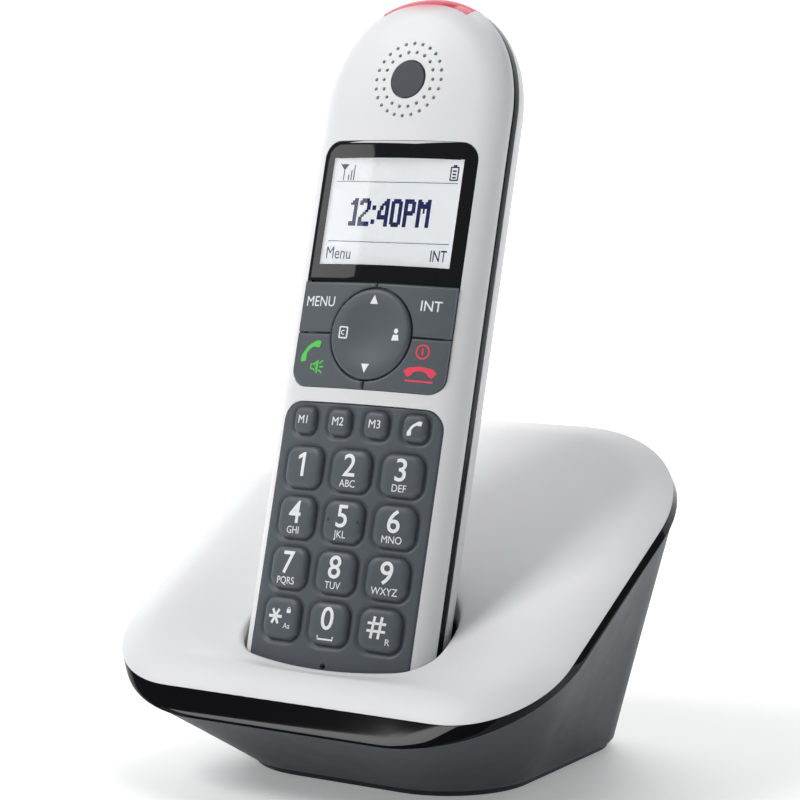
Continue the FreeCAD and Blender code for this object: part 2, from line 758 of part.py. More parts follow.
def make_key(label, x, z, width, length, corner):
    """One key, square to the crowned face at its own column."""
    on_face = ("%s * placement(vector(%s; %s; %s); rotation(vector(0; 0; 1); %s))" % (
        HANDSET, s(x), s("face_radius - sqrt(face_radius ^ 2 - (%s) ^ 2)" % x), s(z),
        s("asin((%s) / face_radius)" % x)))
    body = new_body(label, on_face)
    sketch = new_sketch(body, "XZ", "key_proud")
    add_rounded(sketch, "-%s / 2" % width, "%s / 2" % width, "-%s / 2" % length, "%s / 2" % length,
                corner)
    pad(body, sketch, "key_depth", reverse=True)
    front = -value("key_proud")
    fillet(body, "0.8", lambda edge: edge.BoundBox.YMax < front + 1e-3)


def make_emblem():
    piece = rod("emblem", "0", "0.25 + emblem_depth", "0", "emblem_radius", "emblem_depth",
                "-y", HANDSET)
    keep("emblem_disc", piece)


# ---------------------------------------------------------------- inside the handset

def make_handset_inside():
    front, back = "board_front", "board_front + board_depth"
    keep("handset_board", box("board", ("-board_half", "board_half"), (front, back),
                              ("-145", "-14"), HANDSET))
    keep("key_dome_sheet", box("domes", ("-21", "21"), (front + " - dome_depth", front),
                               ("-140", "-51"), HANDSET))
    keep("lcd_module", box("lcd", ("-lcd_half", "lcd_half"), ("lcd_front", "lcd_front + lcd_depth"),
                           ("lcd_low", "lcd_top"), HANDSET))
    keep("earpiece_receiver", rod("receiver", "0", "3.5", "0", "receiver_radius", "2.8", "+y",
                                  HANDSET))
    keep("microphone", rod("microphone", "0", "2.6", "-143", "2", "2", "+y", HANDSET))
    group("loudspeaker", [rod("cone", "0", "16.4", "speaker_z", "10", "4", "+y", HANDSET),
                          rod("magnet", "0", "13.4", "speaker_z", "6", "3.2", "+y", HANDSET)])
    for label, x in (("battery_cell_left", "-cell_x"), ("battery_cell_right", "cell_x")):
        keep(label, rod(label, x, "cell_y", "(tub_top + tub_low - cell_length) / 2",
                        "cell_radius", "cell_length", "z", HANDSET))
    plates = []
    for x in ("-cell_x", "cell_x"):
        for z in ("tub_low", "tub_top - 0.4"):
            sides = ("%s - 4" % x, "%s + 4" % x)
            plates.append(box("plate", sides, ("11.3", "19.3"), (z, z + " + 0.4"), HANDSET))
    group("battery_contacts", plates)
    contacts = []
    for x in ("-contact_x", "contact_x"):
        contacts.append(box("contact", ("%s - contact_width / 2" % x, "%s + contact_width / 2" % x),
                            ("contact_y - 2", "contact_y + 2"), ("end_z", "end_z + contact_depth"),
                            HANDSET))
    group("handset_charge_contacts", contacts)
    screws = []
    for x, z in screw_places():
        screws.append(rod("shank", x, "screw_head_y - screw_length", z, "screw_radius",
                          "screw_length", "+y", HANDSET))
        screws.append(rod("head", x, "screw_head_y", z, "head_radius", "1.6", "+y", HANDSET))
    group("handset_screws", screws)


# ---------------------------------------------------------------- base

def add_inset_outline(sketch, name, inset="0"):
    """Rounded outline of the rim, trim or foot, drawn inwards by one inset."""
    sides = [text.format(name, inset) for text in (
        "-{0}_half + ({1})", "{0}_half - ({1})", "-{0}_front + ({1})", "{0}_back - ({1})",
        "{0}_front_corner - ({1})", "{0}_back_corner - ({1})")]
    add_rounded(sketch, *sides)


def add_docked_section(sketch, grow):
    """Outline of the handset's cross-section, grown all round by one clearance."""
    split, back = "front_depth", "front_depth + band_depth"
    half = value("half_width + %s" % grow)
    fronts = crown_shapes(half, value(split), value("-(%s)" % grow), value("face_radius + %s" % grow))
    backs = crown_shapes(half, value(back), value(back + " + rear_depth + %s" % grow),
                         value("back_radius + %s" % grow))
    shapes = fronts[1:] + [line(half, value(split), half, value(back))] + backs[1:]
    shapes += [line(-half, value(back), -half, value(split))]
    first = add_loop(sketch, shapes, [True] * 8)
    for i in (3, 7):
        sketch.addConstraint(Sketcher.Constraint("Vertical", first + i))
    for i in (1, 5):
        sketch.addConstraint(Sketcher.Constraint("PointOnObject", first + i, 3, -2))
    dimension(sketch, "DistanceX", (-1, 1, first + 3, 1), "half_width + %s" % grow)
    dimension(sketch, "DistanceX", (-1, 1, first + 7, 1), "-half_width - %s" % grow)
    dimension(sketch, "DistanceY", (-1, 1, first + 3, 1), split)
    dimension(sketch, "DistanceY", (-1, 1, first + 3, 2), back)
    dimension(sketch, "Radius", (first + 1,), "face_radius + %s" % grow)
    dimension(sketch, "Radius", (first + 5,), "back_radius + %s" % grow)
    dimension(sketch, "DistanceY", (-1, 1, first + 1, 3), "face_radius")
    dimension(sketch, "DistanceY", (-1, 1, first + 5, 3), back + " + rear_depth - back_radius")


def make_cover():
    body = new_body("base_cover", RIM)
    outline = new_sketch(body, "XY")
    add_inset_outline(outline, "rim")
    pad(body, outline, "cover_height")
    top = value("cover_height")
    fillet(body, "cover_edge", lambda edge: edge.BoundBox.ZMin > top - 1e-3)
    hollow = new_sketch(body, "XY")
    add_inset_outline(hollow, "rim", "shell_wall")
    pocket(body, hollow, "cover_height - cover_wall", reverse=True)
    axis = ("placement(vector(0; {0} * sin(Sizes.rim_slope); {0} * cos(Sizes.rim_slope));"
            " rotation(vector(1; 0; 0); -Sizes.lean - Sizes.rim_slope))").format(RIM_DROP)
    well = new_sketch(body, "XY", tilted=axis)
    add_docked_section(well, "well_gap")
    pocket(body, well, "250")


def make_trim_band():
    body = new_body("base_band", RIM)
    top = new_sketch(body, "XY")
    add_inset_outline(top, "rim")
    low = new_sketch(body, "XY", "-trim_drop")
    add_inset_outline(low, "trim")
    loft(body, "AdditiveLoft", low, top)
    middle = new_sketch(body, "XY")
    add_inset_outline(middle, "rim", "band_width")
    pocket(body, middle, "trim_drop + 1")


def make_lower_shell():
    body = new_body("base_lower_shell")
    tilt = (RIM + " * placement(vector(0; 0; -Sizes.trim_drop); rotation(vector(1; 0; 0); 0))")
    for kind, inset, floor in (("AdditiveLoft", "0", "shell_low"),
                               ("SubtractiveLoft", "shell_wall", "shell_low + 2")):
        top = new_sketch(body, "XY", tilted=tilt)
        add_inset_outline(top, "trim", "0.4 + %s" % inset)
        low = new_sketch(body, "XY", floor)
        add_inset_outline(low, "foot", inset)
        loft(body, kind, low, top)
    posts = new_sketch(body, "XY", "shell_low + 1")
    places = base_screw_places()
    for x, y in places:
        add_circle(posts, x, y, "base_post_radius")
    pad(body, posts, "base_post_height")
    holes = new_sketch(body, "XY", "0")
    for x, y in places:
        add_circle(holes, x, y, "screw_radius")
    pocket(body, holes, "8.2", reverse=True)
    jacks = new_sketch(body, "XZ", "-70")
    for x in ("-jack_x", "jack_x"):
        add_rectangle(jacks, "%s - 6.2" % x, "%s + 6.2" % x, "jack_low - 0.2", "jack_low + 10.2")
    pocket(body, jacks, "35", reverse=True)
    page = new_sketch(body, "XZ", "-70")
    add_circle(page, "0", "page_z", "page_radius + 0.3")
    pocket(body, page, "35", reverse=True)


def base_screw_places():
    return [(x, y) for x in ("-foot_pad_x", "foot_pad_x") for y in ("5", "foot_pad_back - 8")]


def foot_pad_places():
    return [(x, y) for x in ("-foot_pad_x", "foot_pad_x") for y in ("-foot_pad_front", "foot_pad_back")]


def make_bottom():
    body = new_body("base_bottom_plate")
    plate = new_sketch(body, "XY", "plate_low")
    add_inset_outline(plate, "foot", "plate_inset")
    pad(body, plate, "shell_low - plate_low")
    holes = new_sketch(body, "XY", "0")
    for x, y in base_screw_places():
        add_circle(holes, x, y, "screw_radius + 0.1")
    pocket(body, holes, "5", reverse=True)
    recesses = new_sketch(body, "XY", "0")
    for x, y in foot_pad_places():
        add_circle(recesses, x, y, "foot_pad_radius")
    pocket(body, recesses, "plate_low + 0.8", reverse=True)
    group("rubber_feet", [rod("foot", x, y, "0", "foot_pad_radius", "plate_low + 0.8")
                          for x, y in foot_pad_places()])
    screws = []
    for x, y in base_screw_places():
        screws.append(rod("base_shank", x, y, "plate_low", "screw_radius",
                          "shell_low + base_post_height - plate_low"))
        screws.append(rod("base_head", x, y, "plate_low - base_head", "head_radius",
                          "base_head"))
    group("base_screws", screws)


def make_well():
    """Tub that the handset stands in, cut off level with the cover's underside."""
    body = new_body("cradle_well", HANDSET)
    outer = new_sketch(body, "XY", "end_z - 0.1 - well_floor")
    add_docked_section(outer, "well_gap + well_wall")
    pad(body, outer, "100")
    inner = new_sketch(body, "XY", "end_z - 0.1")
    add_docked_section(inner, "well_gap")
    pocket(body, inner, "110", reverse=True)
    rim = ("placement(vector(0; {0} * sin(Sizes.lean); -{0} * cos(Sizes.lean));"
           " rotation(vector(1; 0; 0); Sizes.lean + Sizes.rim_slope))"
           " * placement(vector(0; 0; Sizes.cover_height - Sizes.cover_wall);"
           " rotation(vector(1; 0; 0); 0))").format(RIM_DROP)
    level = new_sketch(body, "XY", tilted=rim)
    add_rectangle(level, "-100", "100", "-150", "150")
    pocket(body, level, "200", reverse=True)
    holes = new_sketch(body, "XY", "end_z")
    for x in ("-contact_x", "contact_x"):
        add_circle(holes, x, "contact_y", "pin_radius + 0.05")
    pocket(body, holes, "6")


def make_base_inside():
    board_low = "jack_low - 1.6"
    keep("base_board", box("base_board", ("-23", "23"), ("-6", "46"), (board_low, "jack_low")))
    keep("ballast_plate", box("ballast", ("-20", "20"), ("-14", "28"),
                              ("shell_low + 2", "shell_low + 5")))
    for label, x in (("line_jack", "-jack_x"), ("power_jack", "jack_x")):
        body = new_body(label)
        outer = new_sketch(body, "XY", "jack_low")
        add_rectangle(outer, "%s - 6" % x, "%s + 6" % x, "39", "foot_back - 0.2")
        pad(body, outer, "10")
        mouth = new_sketch(body, "XZ", "-foot_back - 1")
        add_rectangle(mouth, "%s - 4.9" % x, "%s + 4.9" % x, "jack_low + 1.6", "jack_low + 8.4")
        pocket(body, mouth, "10", reverse=True)
    keep("page_key", rod("page_key", "0", "foot_back - 5", "page_z", "page_radius", "7", "+y"))
    for label, x in (("charge_pin_left", "-contact_x"), ("charge_pin_right", "contact_x")):
        keep(label, rod(label, x, "contact_y", "end_z - 0.05 - pin_length", "pin_radius",
                        "pin_length", "z", HANDSET))


def write_nodes():
    """Recompute, refuse anything broken, and write one STEP file for each sub-part."""
    doc.recompute()
    for obj in doc.Objects:
        if "Invalid" in obj.State or "Error" in obj.State:
            raise RuntimeError("%s has failed: %s" % (obj.Label, obj.State))
    os.makedirs("parts", exist_ok=True)
    for obj in nodes:
        if obj.Shape.isNull() or not obj.Shape.isValid():
            raise RuntimeError("%s has no valid shape" % obj.Label)
        obj.Shape.exportStep(os.path.join("parts", obj.Label + ".step"))
        print("%-26s %9.1f mm3, %d solids" % (obj.Label, obj.Shape.Volume, len(obj.Shape.Solids)))


make_front_shell()
make_band_and_strip()
make_rear_shell()
make_door()
make_window()
make_emblem()
make_nav_keys()
make_keypad()
make_handset_inside()
make_cover()
make_trim_band()
make_lower_shell()
make_bottom()
make_well()
make_base_inside()
write_nodes()
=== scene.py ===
"""Looks of the cordless phone and its charging base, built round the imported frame.

All lengths in the drawing code are millimetres; objects are made in metres.
HANDSET and RIM are the handset's and the sloping rim's own frames, as in the CAD:
handset x across, y from the face to the back, z along it; rim x across, y up the
slope, z off the slope.
"""
import json
import re
from collections import Counter
from math import asin, atan2, copysign, cos, hypot, pi, radians, sin

import bmesh
import bpy
import numpy as np
from mathutils import Matrix, Vector


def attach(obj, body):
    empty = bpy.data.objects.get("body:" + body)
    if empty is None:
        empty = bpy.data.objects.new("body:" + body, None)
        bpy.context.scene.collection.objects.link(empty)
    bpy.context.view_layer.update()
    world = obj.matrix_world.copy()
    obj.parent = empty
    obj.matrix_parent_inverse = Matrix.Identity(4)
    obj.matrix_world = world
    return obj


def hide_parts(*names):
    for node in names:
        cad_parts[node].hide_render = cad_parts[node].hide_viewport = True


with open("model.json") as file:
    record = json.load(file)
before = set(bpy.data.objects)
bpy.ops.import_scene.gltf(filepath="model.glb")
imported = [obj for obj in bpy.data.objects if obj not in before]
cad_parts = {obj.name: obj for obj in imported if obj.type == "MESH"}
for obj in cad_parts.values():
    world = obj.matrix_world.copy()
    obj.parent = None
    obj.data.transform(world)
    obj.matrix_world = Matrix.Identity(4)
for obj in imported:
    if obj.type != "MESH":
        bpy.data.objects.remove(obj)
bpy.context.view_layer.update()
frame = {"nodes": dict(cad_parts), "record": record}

MM = 0.001
RING_Y, RING_HEIGHT, LEAN = 1.3, 169.0, radians(15.5)
RIM_HEIGHT, RIM_SLOPE = 52.75, radians(29.2)
HANDSET = (Matrix.Translation((0, RING_Y * MM, RING_HEIGHT * MM))
           @ Matrix.Rotation(-LEAN, 4, "X"))
RIM = Matrix.Translation((0, RING_Y * MM, RIM_HEIGHT * MM)) @ Matrix.Rotation(RIM_SLOPE, 4, "X")
WORLD = Matrix.Identity(4)

HALF, ARCH_Z, ARCH_HEIGHT, ARCH_POWER = 26.35, -8.0, 30.0, 2.15
END_Z, END_CORNER = -156.0, 12.0
STRIP_ANGLE = 27.5
FRONT_DEPTH, BAND_DEPTH, REAR_DEPTH, WALL = 7.2, 2.7, 14.0, 1.8
FACE_RADIUS = 120.0
ROLL_WIDTH = 7.0
SPLIT_BACK = FRONT_DEPTH + BAND_DEPTH
WINDOW_HALF, WINDOW_TOP, WINDOW_LOW, WINDOW_CORNER = 21.65, -15.35, -50.25, 4.4
LIT_HALF, LIT_TOP, LIT_LOW = 18.42, -19.54, -46.11
NAV_LOW, NAV_Z, NAV_RADIUS, GAP = -76.5, -63.0, 11.11, 0.35
MAT_HALF, MAT_TOP, MAT_LOW, MAT_CORNER, MAT_APEX = 22.48, -80.15, -147.2, 5.0, 0.25
DOOR_HALF, DOOR_TOP, DOOR_LOW = 14.3, -42.0, -104.0


# ---------------------------------------------------------------- materials

def new_material(name):
    """A new material, its node tree and its one shader."""
    material = bpy.data.materials.new(name)
    material.use_nodes = True
    return material, material.node_tree, material.node_tree.nodes.get("Principled BSDF")


def dial(node, **values):
    """Set a node's plain inputs by name; an underscore stands for a space."""
    for name, value in values.items():
        node.inputs[name.replace("_", " ")].default_value = value


def add(tree, kind, **values):
    """A new shader node with its plain inputs set."""
    node = tree.nodes.new("ShaderNode" + kind)
    dial(node, **values)
    return node


def noise(tree, scale, detail=3.0, roughness=0.5):
    """Noise in the object's own coordinates, which are metres in the row frame."""
    texture = add(tree, "TexNoise", Scale=scale, Detail=detail, Roughness=roughness)
    tree.links.new(add(tree, "TexCoord").outputs["Object"], texture.inputs["Vector"])
    return texture.outputs["Fac"]


def spread(tree, value, low, high):
    """Map a 0 to 1 value to a range."""
    change = add(tree, "MapRange", To_Min=low, To_Max=high)
    tree.links.new(value, change.inputs["Value"])
    return change.outputs["Result"]


def two_tone(tree, value, one, other):
    """Mix two colours by a 0 to 1 value."""
    mix = tree.nodes.new("ShaderNodeMix")
    mix.data_type = "RGBA"
    dial(mix, A=(*one, 1), B=(*other, 1))
    tree.links.new(value, mix.inputs["Factor"])
    return mix.outputs["Result"]


def distance_from(tree, source):
    """The length of a vector output."""
    far = add(tree, "VectorMath")
    far.operation = "LENGTH"
    tree.links.new(source, far.inputs[0])
    return far.outputs["Value"]


def moulded(name, color, roughness, grain=5200.0, bump=0.012, change=0.04, coat=0.0,
            specular=0.5):
    """Moulded plastic or rubber: slight tone drift, spark-eroded grain, uneven gloss."""
    material, tree, shader = new_material(name)
    darker = tuple(c * (1 - change) for c in color)
    lighter = tuple(min(1, c * (1 + change)) for c in color)
    tone = two_tone(tree, noise(tree, 38.0), darker, lighter)
    tree.links.new(tone, shader.inputs["Base Color"])
    wear = spread(tree, noise(tree, 140.0, 5.0), roughness * 0.85, roughness * 1.15)
    tree.links.new(wear, shader.inputs["Roughness"])
    if bump:
        relief = add(tree, "Bump", Strength=bump * 10, Distance=0.00008)
        tree.links.new(noise(tree, grain, 2.0), relief.inputs["Height"])
        tree.links.new(relief.outputs["Normal"], shader.inputs["Normal"])
    dial(shader, Specular_IOR_Level=specular, Coat_Weight=coat, Coat_Roughness=0.05)
    return material


def glowing_shell(name, color, glow, roughness):
    """The front shell's plastic, tinted where the light strip shines on it."""
    material = moulded(name, color, roughness)
    tree = material.node_tree
    shader = tree.nodes.get("Principled BSDF")
    plain = shader.inputs["Base Color"].links[0].from_socket
    strip_middle = HANDSET @ Vector((0, 2.0 * MM, (ARCH_Z + ARCH_HEIGHT) * MM))
    source = add(tree, "TexCoord").outputs["Object"]
    for operation, amount in (("SUBTRACT", strip_middle), ("MULTIPLY", (0.42, 1.0, 1.6))):
        step = add(tree, "VectorMath")
        step.operation = operation
        step.inputs[1].default_value = amount
        tree.links.new(source, step.inputs[0])
        source = step.outputs["Vector"]
    fade = add(tree, "MapRange", From_Min=0.0015, From_Max=0.0085, To_Min=0.85, To_Max=0.0)
    fade.interpolation_type = "SMOOTHERSTEP"
    tree.links.new(distance_from(tree, source), fade.inputs["Value"])
    tinted = two_tone(tree, fade.outputs["Result"], glow, glow)
    tree.links.new(plain, tinted.node.inputs["A"])
    tree.links.new(tinted, shader.inputs["Base Color"])
    return material


def lit(name, color, strength, other, scale=60.0, roughness=0.35, body=None):
    """A surface that gives off light, a little uneven; body is its own colour if it differs."""
    material, tree, shader = new_material(name)
    tone = two_tone(tree, noise(tree, scale), color, other)
    if body is None:
        tree.links.new(tone, shader.inputs["Base Color"])
    else:
        dial(shader, Base_Color=(*body, 1))
    tree.links.new(tone, shader.inputs["Emission Color"])
    dial(shader, Emission_Strength=strength, Roughness=roughness)
    return material


def clear(name):
    """Clear acrylic with the faintest haze."""
    material, tree, shader = new_material(name)
    dial(shader, Base_Color=(0.97, 0.98, 0.98, 1), Transmission_Weight=1.0, IOR=1.45)
    tree.links.new(spread(tree, noise(tree, 90.0), 0.0, 0.02), shader.inputs["Roughness"])
    return material


def metal(name, color, roughness):
    """Plated metal with uneven tone and polish."""
    material, tree, shader = new_material(name)
    tone = two_tone(tree, noise(tree, 90.0), tuple(c * 0.9 for c in color), color)
    tree.links.new(tone, shader.inputs["Base Color"])
    dial(shader, Metallic=1.0)
    polish = spread(tree, noise(tree, 900.0), roughness * 0.7, roughness * 1.3)
    tree.links.new(polish, shader.inputs["Roughness"])
    return material


WHITE = (0.77, 0.77, 0.78)
SLATE = (0.036, 0.044, 0.052)
paint = {
    "white_shell": moulded("white_shell", WHITE, 0.42),
    "face": glowing_shell("face_plastic", WHITE, (0.9, 0.12, 0.16), 0.42),
    "gloss_black": moulded("gloss_black", (0.004, 0.004, 0.005), 0.06, bump=0, specular=0.13),
    "edge_black": moulded("edge_black", (0.004, 0.004, 0.005), 0.1, bump=0, specular=0.12),
    "light_strip": lit("light_strip", (0.30, 0.004, 0.015), 0.75, (0.95, 0.1, 0.17), 170.0, 0.1,
                       (0.12, 0.003, 0.01)),
    "window": moulded("window_print", (0.003, 0.003, 0.004), 0.03, bump=0, coat=0.3),
    "clear": clear("clear_window"),
    "display": lit("display_film", (0.70, 0.72, 0.74), 0.60, (0.74, 0.75, 0.76)),
    "ink": moulded("display_ink", (0.008, 0.016, 0.15), 0.5, bump=0, specular=0.2),
    "emblem": moulded("emblem", (0.05, 0.058, 0.068), 0.45, specular=0.3),
    "key_rubber": moulded("key_rubber", (0.076, 0.09, 0.103), 0.48, 3600.0),
    "mat": moulded("mat_rubber", (0.072, 0.085, 0.098), 0.5, 3600.0),
    "legend": moulded("legend_white", (0.86, 0.87, 0.88), 0.5, bump=0.004),
    "green": moulded("legend_green", (0.09, 0.6, 0.08), 0.5, bump=0.004),
    "red": moulded("legend_red", (0.86, 0.05, 0.1), 0.5, bump=0.004),
    "slate_shell": moulded("slate_shell", SLATE, 0.45, specular=0.2),
    "rubber": moulded("rubber", (0.025, 0.025, 0.026), 0.75, 1800.0, 0.03),
    "board": moulded("board", (0.02, 0.13, 0.05), 0.35),
    "dome": moulded("dome", (0.7, 0.7, 0.68), 0.4),
    "dark_plastic": moulded("dark_plastic", (0.018, 0.018, 0.02), 0.5),
    "cell": moulded("cell", (0.05, 0.22, 0.12), 0.3),
    "spring_steel": metal("spring_steel", (0.6, 0.6, 0.6), 0.3),
    "gold": metal("gold", (0.83, 0.6, 0.25), 0.2),
    "ballast": metal("ballast", (0.45, 0.45, 0.46), 0.4),
}


# ---------------------------------------------------------------- mesh helpers

def new_object(name, data):
    """A new object in the scene."""
    obj = bpy.data.objects.new(name, data)
    bpy.context.scene.collection.objects.link(obj)
    return obj


def new_mesh(name, verts, faces, place):
    """A mesh from millimetre points in a place's own frame."""
    mesh = bpy.data.meshes.new(name)
    mesh.from_pydata([place @ (Vector(v) * MM) for v in verts], [], faces)
    return mesh


def evaluated_mesh(obj):
    """A copy of an object's mesh with its modifiers applied."""
    bpy.context.view_layer.update()
    graph = bpy.context.evaluated_depsgraph_get()
    return bpy.data.meshes.new_from_object(obj.evaluated_get(graph))


def finish_piece(name, verts, faces, place, body, finish, slot=None, replaces=(), angle=35.0):
    """Make one object from millimetre points in a local frame and tie it to its body."""
    mesh = new_mesh(name, verts, faces, place)
    mesh.validate()
    obj = new_object(name, mesh)
    obj.data.materials.append(paint[finish])
    face_outwards(mesh)
    smooth_mesh(mesh, angle)
    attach(obj, body)
    if replaces:
        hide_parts(*replaces)
    return obj


def face_outwards(mesh):
    work = bmesh.new()
    work.from_mesh(mesh)
    bmesh.ops.recalc_face_normals(work, faces=work.faces)
    work.to_mesh(mesh)
    work.free()


def smooth_mesh(mesh, angle):
    mesh.polygons.foreach_set("use_smooth", [True] * len(mesh.polygons))
    mesh.set_sharp_from_angle(angle=radians(angle))


def edges_of(face):
    """The face's edges as pairs of neighbouring corners."""
    return zip(face, face[1:] + face[:1])


def bridge(loops, closed=False):
    """Faces between equal closed loops of points; an open row of loops gets a cap at each end."""
    count = len(loops[0])
    verts = [p for loop in loops for p in loop]
    faces = []
    pairs = list(zip(range(len(loops) - 1), range(1, len(loops))))
    if closed:
        pairs.append((len(loops) - 1, 0))
    for a, b in pairs:
        for i in range(count):
            j = (i + 1) % count
            faces.append((a * count + i, a * count + j, b * count + j, b * count + i))
    if not closed:
        faces.append(tuple(range(count))[::-1])
        faces.append(tuple((len(loops) - 1) * count + i for i in range(count)))
    return verts, faces


def loft(name, loops, place, body, finish, closed=False, **more):
    """A piece skinned over equal loops."""
    return finish_piece(name, *bridge(loops, closed), place, body, finish, **more)


def plate(name, xs, zs, shape, height, floor, place, body, finish, **more):
    """A solid whose top follows height(x, z, inside) over the area where shape is negative.

    shape gives the signed distance to the outline. Grid points near the outline are
    moved onto it, so the edge is clean; the floor is flat or a function of x and z.
    """
    grid_x, grid_z = np.meshgrid(np.array(xs, float), np.array(zs, float), indexing="ij")
    reach = max(np.max(np.diff(xs)), np.max(np.diff(zs))) * 0.62
    near = shape(grid_x, grid_z)
    tiny = 1e-4
    slope_x = (shape(grid_x + tiny, grid_z) - near) / tiny
    slope_z = (shape(grid_x, grid_z + tiny) - near) / tiny
    pull = np.where(np.abs(near) < reach, near, 0.0)
    grid_x = grid_x - pull * slope_x
    grid_z = grid_z - pull * slope_z
    inside = near < reach
    top = height(grid_x, grid_z, np.maximum(-shape(grid_x, grid_z), 0.0))
    low = floor(grid_x, grid_z) if callable(floor) else np.full_like(top, floor)
    index = -np.ones(grid_x.shape, int)
    index[inside] = np.arange(inside.sum())
    faces = []
    for i in range(len(xs) - 1):
        for k in range(len(zs) - 1):
            corners = (index[i, k], index[i + 1, k], index[i + 1, k + 1], index[i, k + 1])
            kept = tuple(int(c) for c in corners if c >= 0)
            if len(kept) >= 3:
                faces.append(kept)
    used = sorted({c for face in faces for c in face})
    renumber = {old: new for new, old in enumerate(used)}
    faces = [tuple(renumber[c] for c in face) for face in faces]
    offset = len(used)
    edges = dict.fromkeys(edge for face in faces for edge in edges_of(face))
    walls = [(a + offset, b + offset, b, a) for a, b in edges if (b, a) not in edges]
    under = [tuple(c + offset for c in reversed(face)) for face in faces]
    points = []
    for level in (top, low):
        spots = list(zip(grid_x[inside], level[inside], grid_z[inside]))
        points += [spots[c] for c in used]
    return finish_piece(name, points, faces + under + walls, place, body, finish, **more)


def steps(low, high, step, *exact):
    """Even grid values from low to high that also hold the exact ones."""
    count = max(2, int(round((high - low) / step)) + 1)
    values = list(np.linspace(low, high, count))
    for wanted in exact:
        nearest = min(range(len(values)), key=lambda i: abs(values[i] - wanted))
        values[nearest] = wanted
    return sorted(set(values))


def rounded_box(x0, x1, z0, z1, corner_low, corner_top=None):
    """Signed distance to a rectangle with its own lower and upper corner radii."""
    if corner_top is None:
        corner_top = corner_low
    cx, cz, hx, hz = (x0 + x1) / 2, (z0 + z1) / 2, (x1 - x0) / 2, (z1 - z0) / 2

    def distance(x, z):
        corner = np.where(z > cz, corner_top, corner_low)
        dx = np.abs(x - cx) - hx + corner
        dz = np.abs(z - cz) - hz + corner
        outside = np.hypot(np.maximum(dx, 0), np.maximum(dz, 0))
        return outside + np.minimum(np.maximum(dx, dz), 0) - corner
    return distance


def disc(cx, cz, radius):
    return lambda x, z: np.hypot(x - cx, z - cz) - radius


def roll(depth, width, drop):
    """Extra drop of a rounded edge at a distance inside the outline."""
    part = np.clip(1 - depth / width, 0, 1)
    return drop * (1 - np.sqrt(np.maximum(1 - part ** 2.2, 0)))


def crown(x, radius=FACE_RADIUS):
    return radius - np.sqrt(radius ** 2 - np.minimum(np.abs(x), radius) ** 2)


# ---------------------------------------------------------------- handset shells

def quarter(cx, cy, radius, turn, count):
    """Points of a quarter circle that starts after some quarter turns, both ends included."""
    angles = [pi / 2 * (turn + k / count) for k in range(count + 1)]
    return [(cx + radius * cos(angle), cy + radius * sin(angle)) for angle in angles]


def mixed(one, other, part):
    """Points part of the way from one flat outline to another."""
    return [(ax + (bx - ax) * part, ay + (by - ay) * part)
            for (ax, ay), (bx, by) in zip(one, other)]


def gaps(one, other):
    """Distances between the matching points of two flat outlines."""
    return [hypot(bx - ax, by - ay) for (ax, ay), (bx, by) in zip(one, other)]


def upright(points, depth):
    """Points (x, z) set at one depth."""
    return [(x, depth, z) for x, z in points]


def raised(points, height):
    """Points (x, y) set at one height."""
    return [(x, y, height) for x, y in points]


def between(start, end, count):
    """Even points from start up to end, but without end."""
    return [(start[0] + (end[0] - start[0]) * k / count, start[1] + (end[1] - start[1]) * k / count)
            for k in range(count)]


def handset_outline(inset):
    """Points of the handset's outline, moved inwards; the arch comes first."""
    radius = max(HALF - inset, 0.02)
    corner = max(END_CORNER - inset, 0.2)
    low = min(END_Z + inset, ARCH_Z - 40)
    centre_x, turn_z = max(radius - corner, 0.005), low + corner
    points = [arch_point(pi * i / 72, inset) for i in range(72)]
    points += between((-radius, ARCH_Z), (-radius, turn_z), 40)
    points += quarter(-centre_x, turn_z, corner, 2, 12)[:-1]
    points += between((-centre_x, low), (centre_x, low), 10)
    points += quarter(centre_x, turn_z, corner, 3, 12)[:-1]
    return points + between((radius, turn_z), (radius, ARCH_Z), 40)


def arch_point(angle, inset):
    """A point of the handset's rounded top, moved inwards; the arch is slightly squarish."""
    across, up = cos(angle), max(sin(angle), 0.0)
    radius = max(HALF - inset, 0.02)
    return (radius * copysign(abs(across) ** (2 / ARCH_POWER), across),
            ARCH_Z + (ARCH_HEIGHT - inset) * up ** (2 / ARCH_POWER))


def from_spine(x, z):
    """Distance from the handset's middle line, HALF all along the outline."""
    up = max(z - ARCH_Z, 0) / ARCH_HEIGHT
    return HALF * ((abs(x) / HALF) ** ARCH_POWER + up ** ARCH_POWER) ** (1 / ARCH_POWER)


def face_depth(x, z, inset):
    """How far behind the face's middle its surface lies."""
    drop = FRONT_DEPTH - float(crown(HALF))
    return float(crown(from_spine(x, z))) + float(roll(np.array(inset), ROLL_WIDTH, drop))


def back_depth(x, z):
    """How far behind the face's middle the back surface lies."""
    across = min(from_spine(x, z) / HALF, 1)
    bulge = (1 - across ** 2.2) ** (1 / 2.2)
    end = min(max(z - END_Z, 0) / 4.0, 1)
    rounding = (1 - (1 - end) ** 2.2) ** (1 / 2.2)
    return SPLIT_BACK + REAR_DEPTH * bulge * rounding


def edge_insets(width, count):
    return [width * (1 - cos(pi / 2 * i / count)) for i in range(count + 1)]


def front_shell():
    insets = edge_insets(ROLL_WIDTH, 12) + list(np.linspace(ROLL_WIDTH, HALF - 0.05, 13))[1:]
    outer = [[(x, face_depth(x, z, inset), z) for x, z in handset_outline(inset)]
             for inset in insets]
    inner = [upright(handset_outline(WALL), FRONT_DEPTH)]
    for inset in np.linspace(WALL, HALF - 0.05, 16):
        inner.append([(x, face_depth(x, z, inset) + WALL, z)
                      for x, z in handset_outline(float(inset))])
    return loft("front_shell", inner[::-1] + outer, HANDSET, "handset", "face",
                slot="white_shell", replaces=["handset_front_shell"], angle=40)


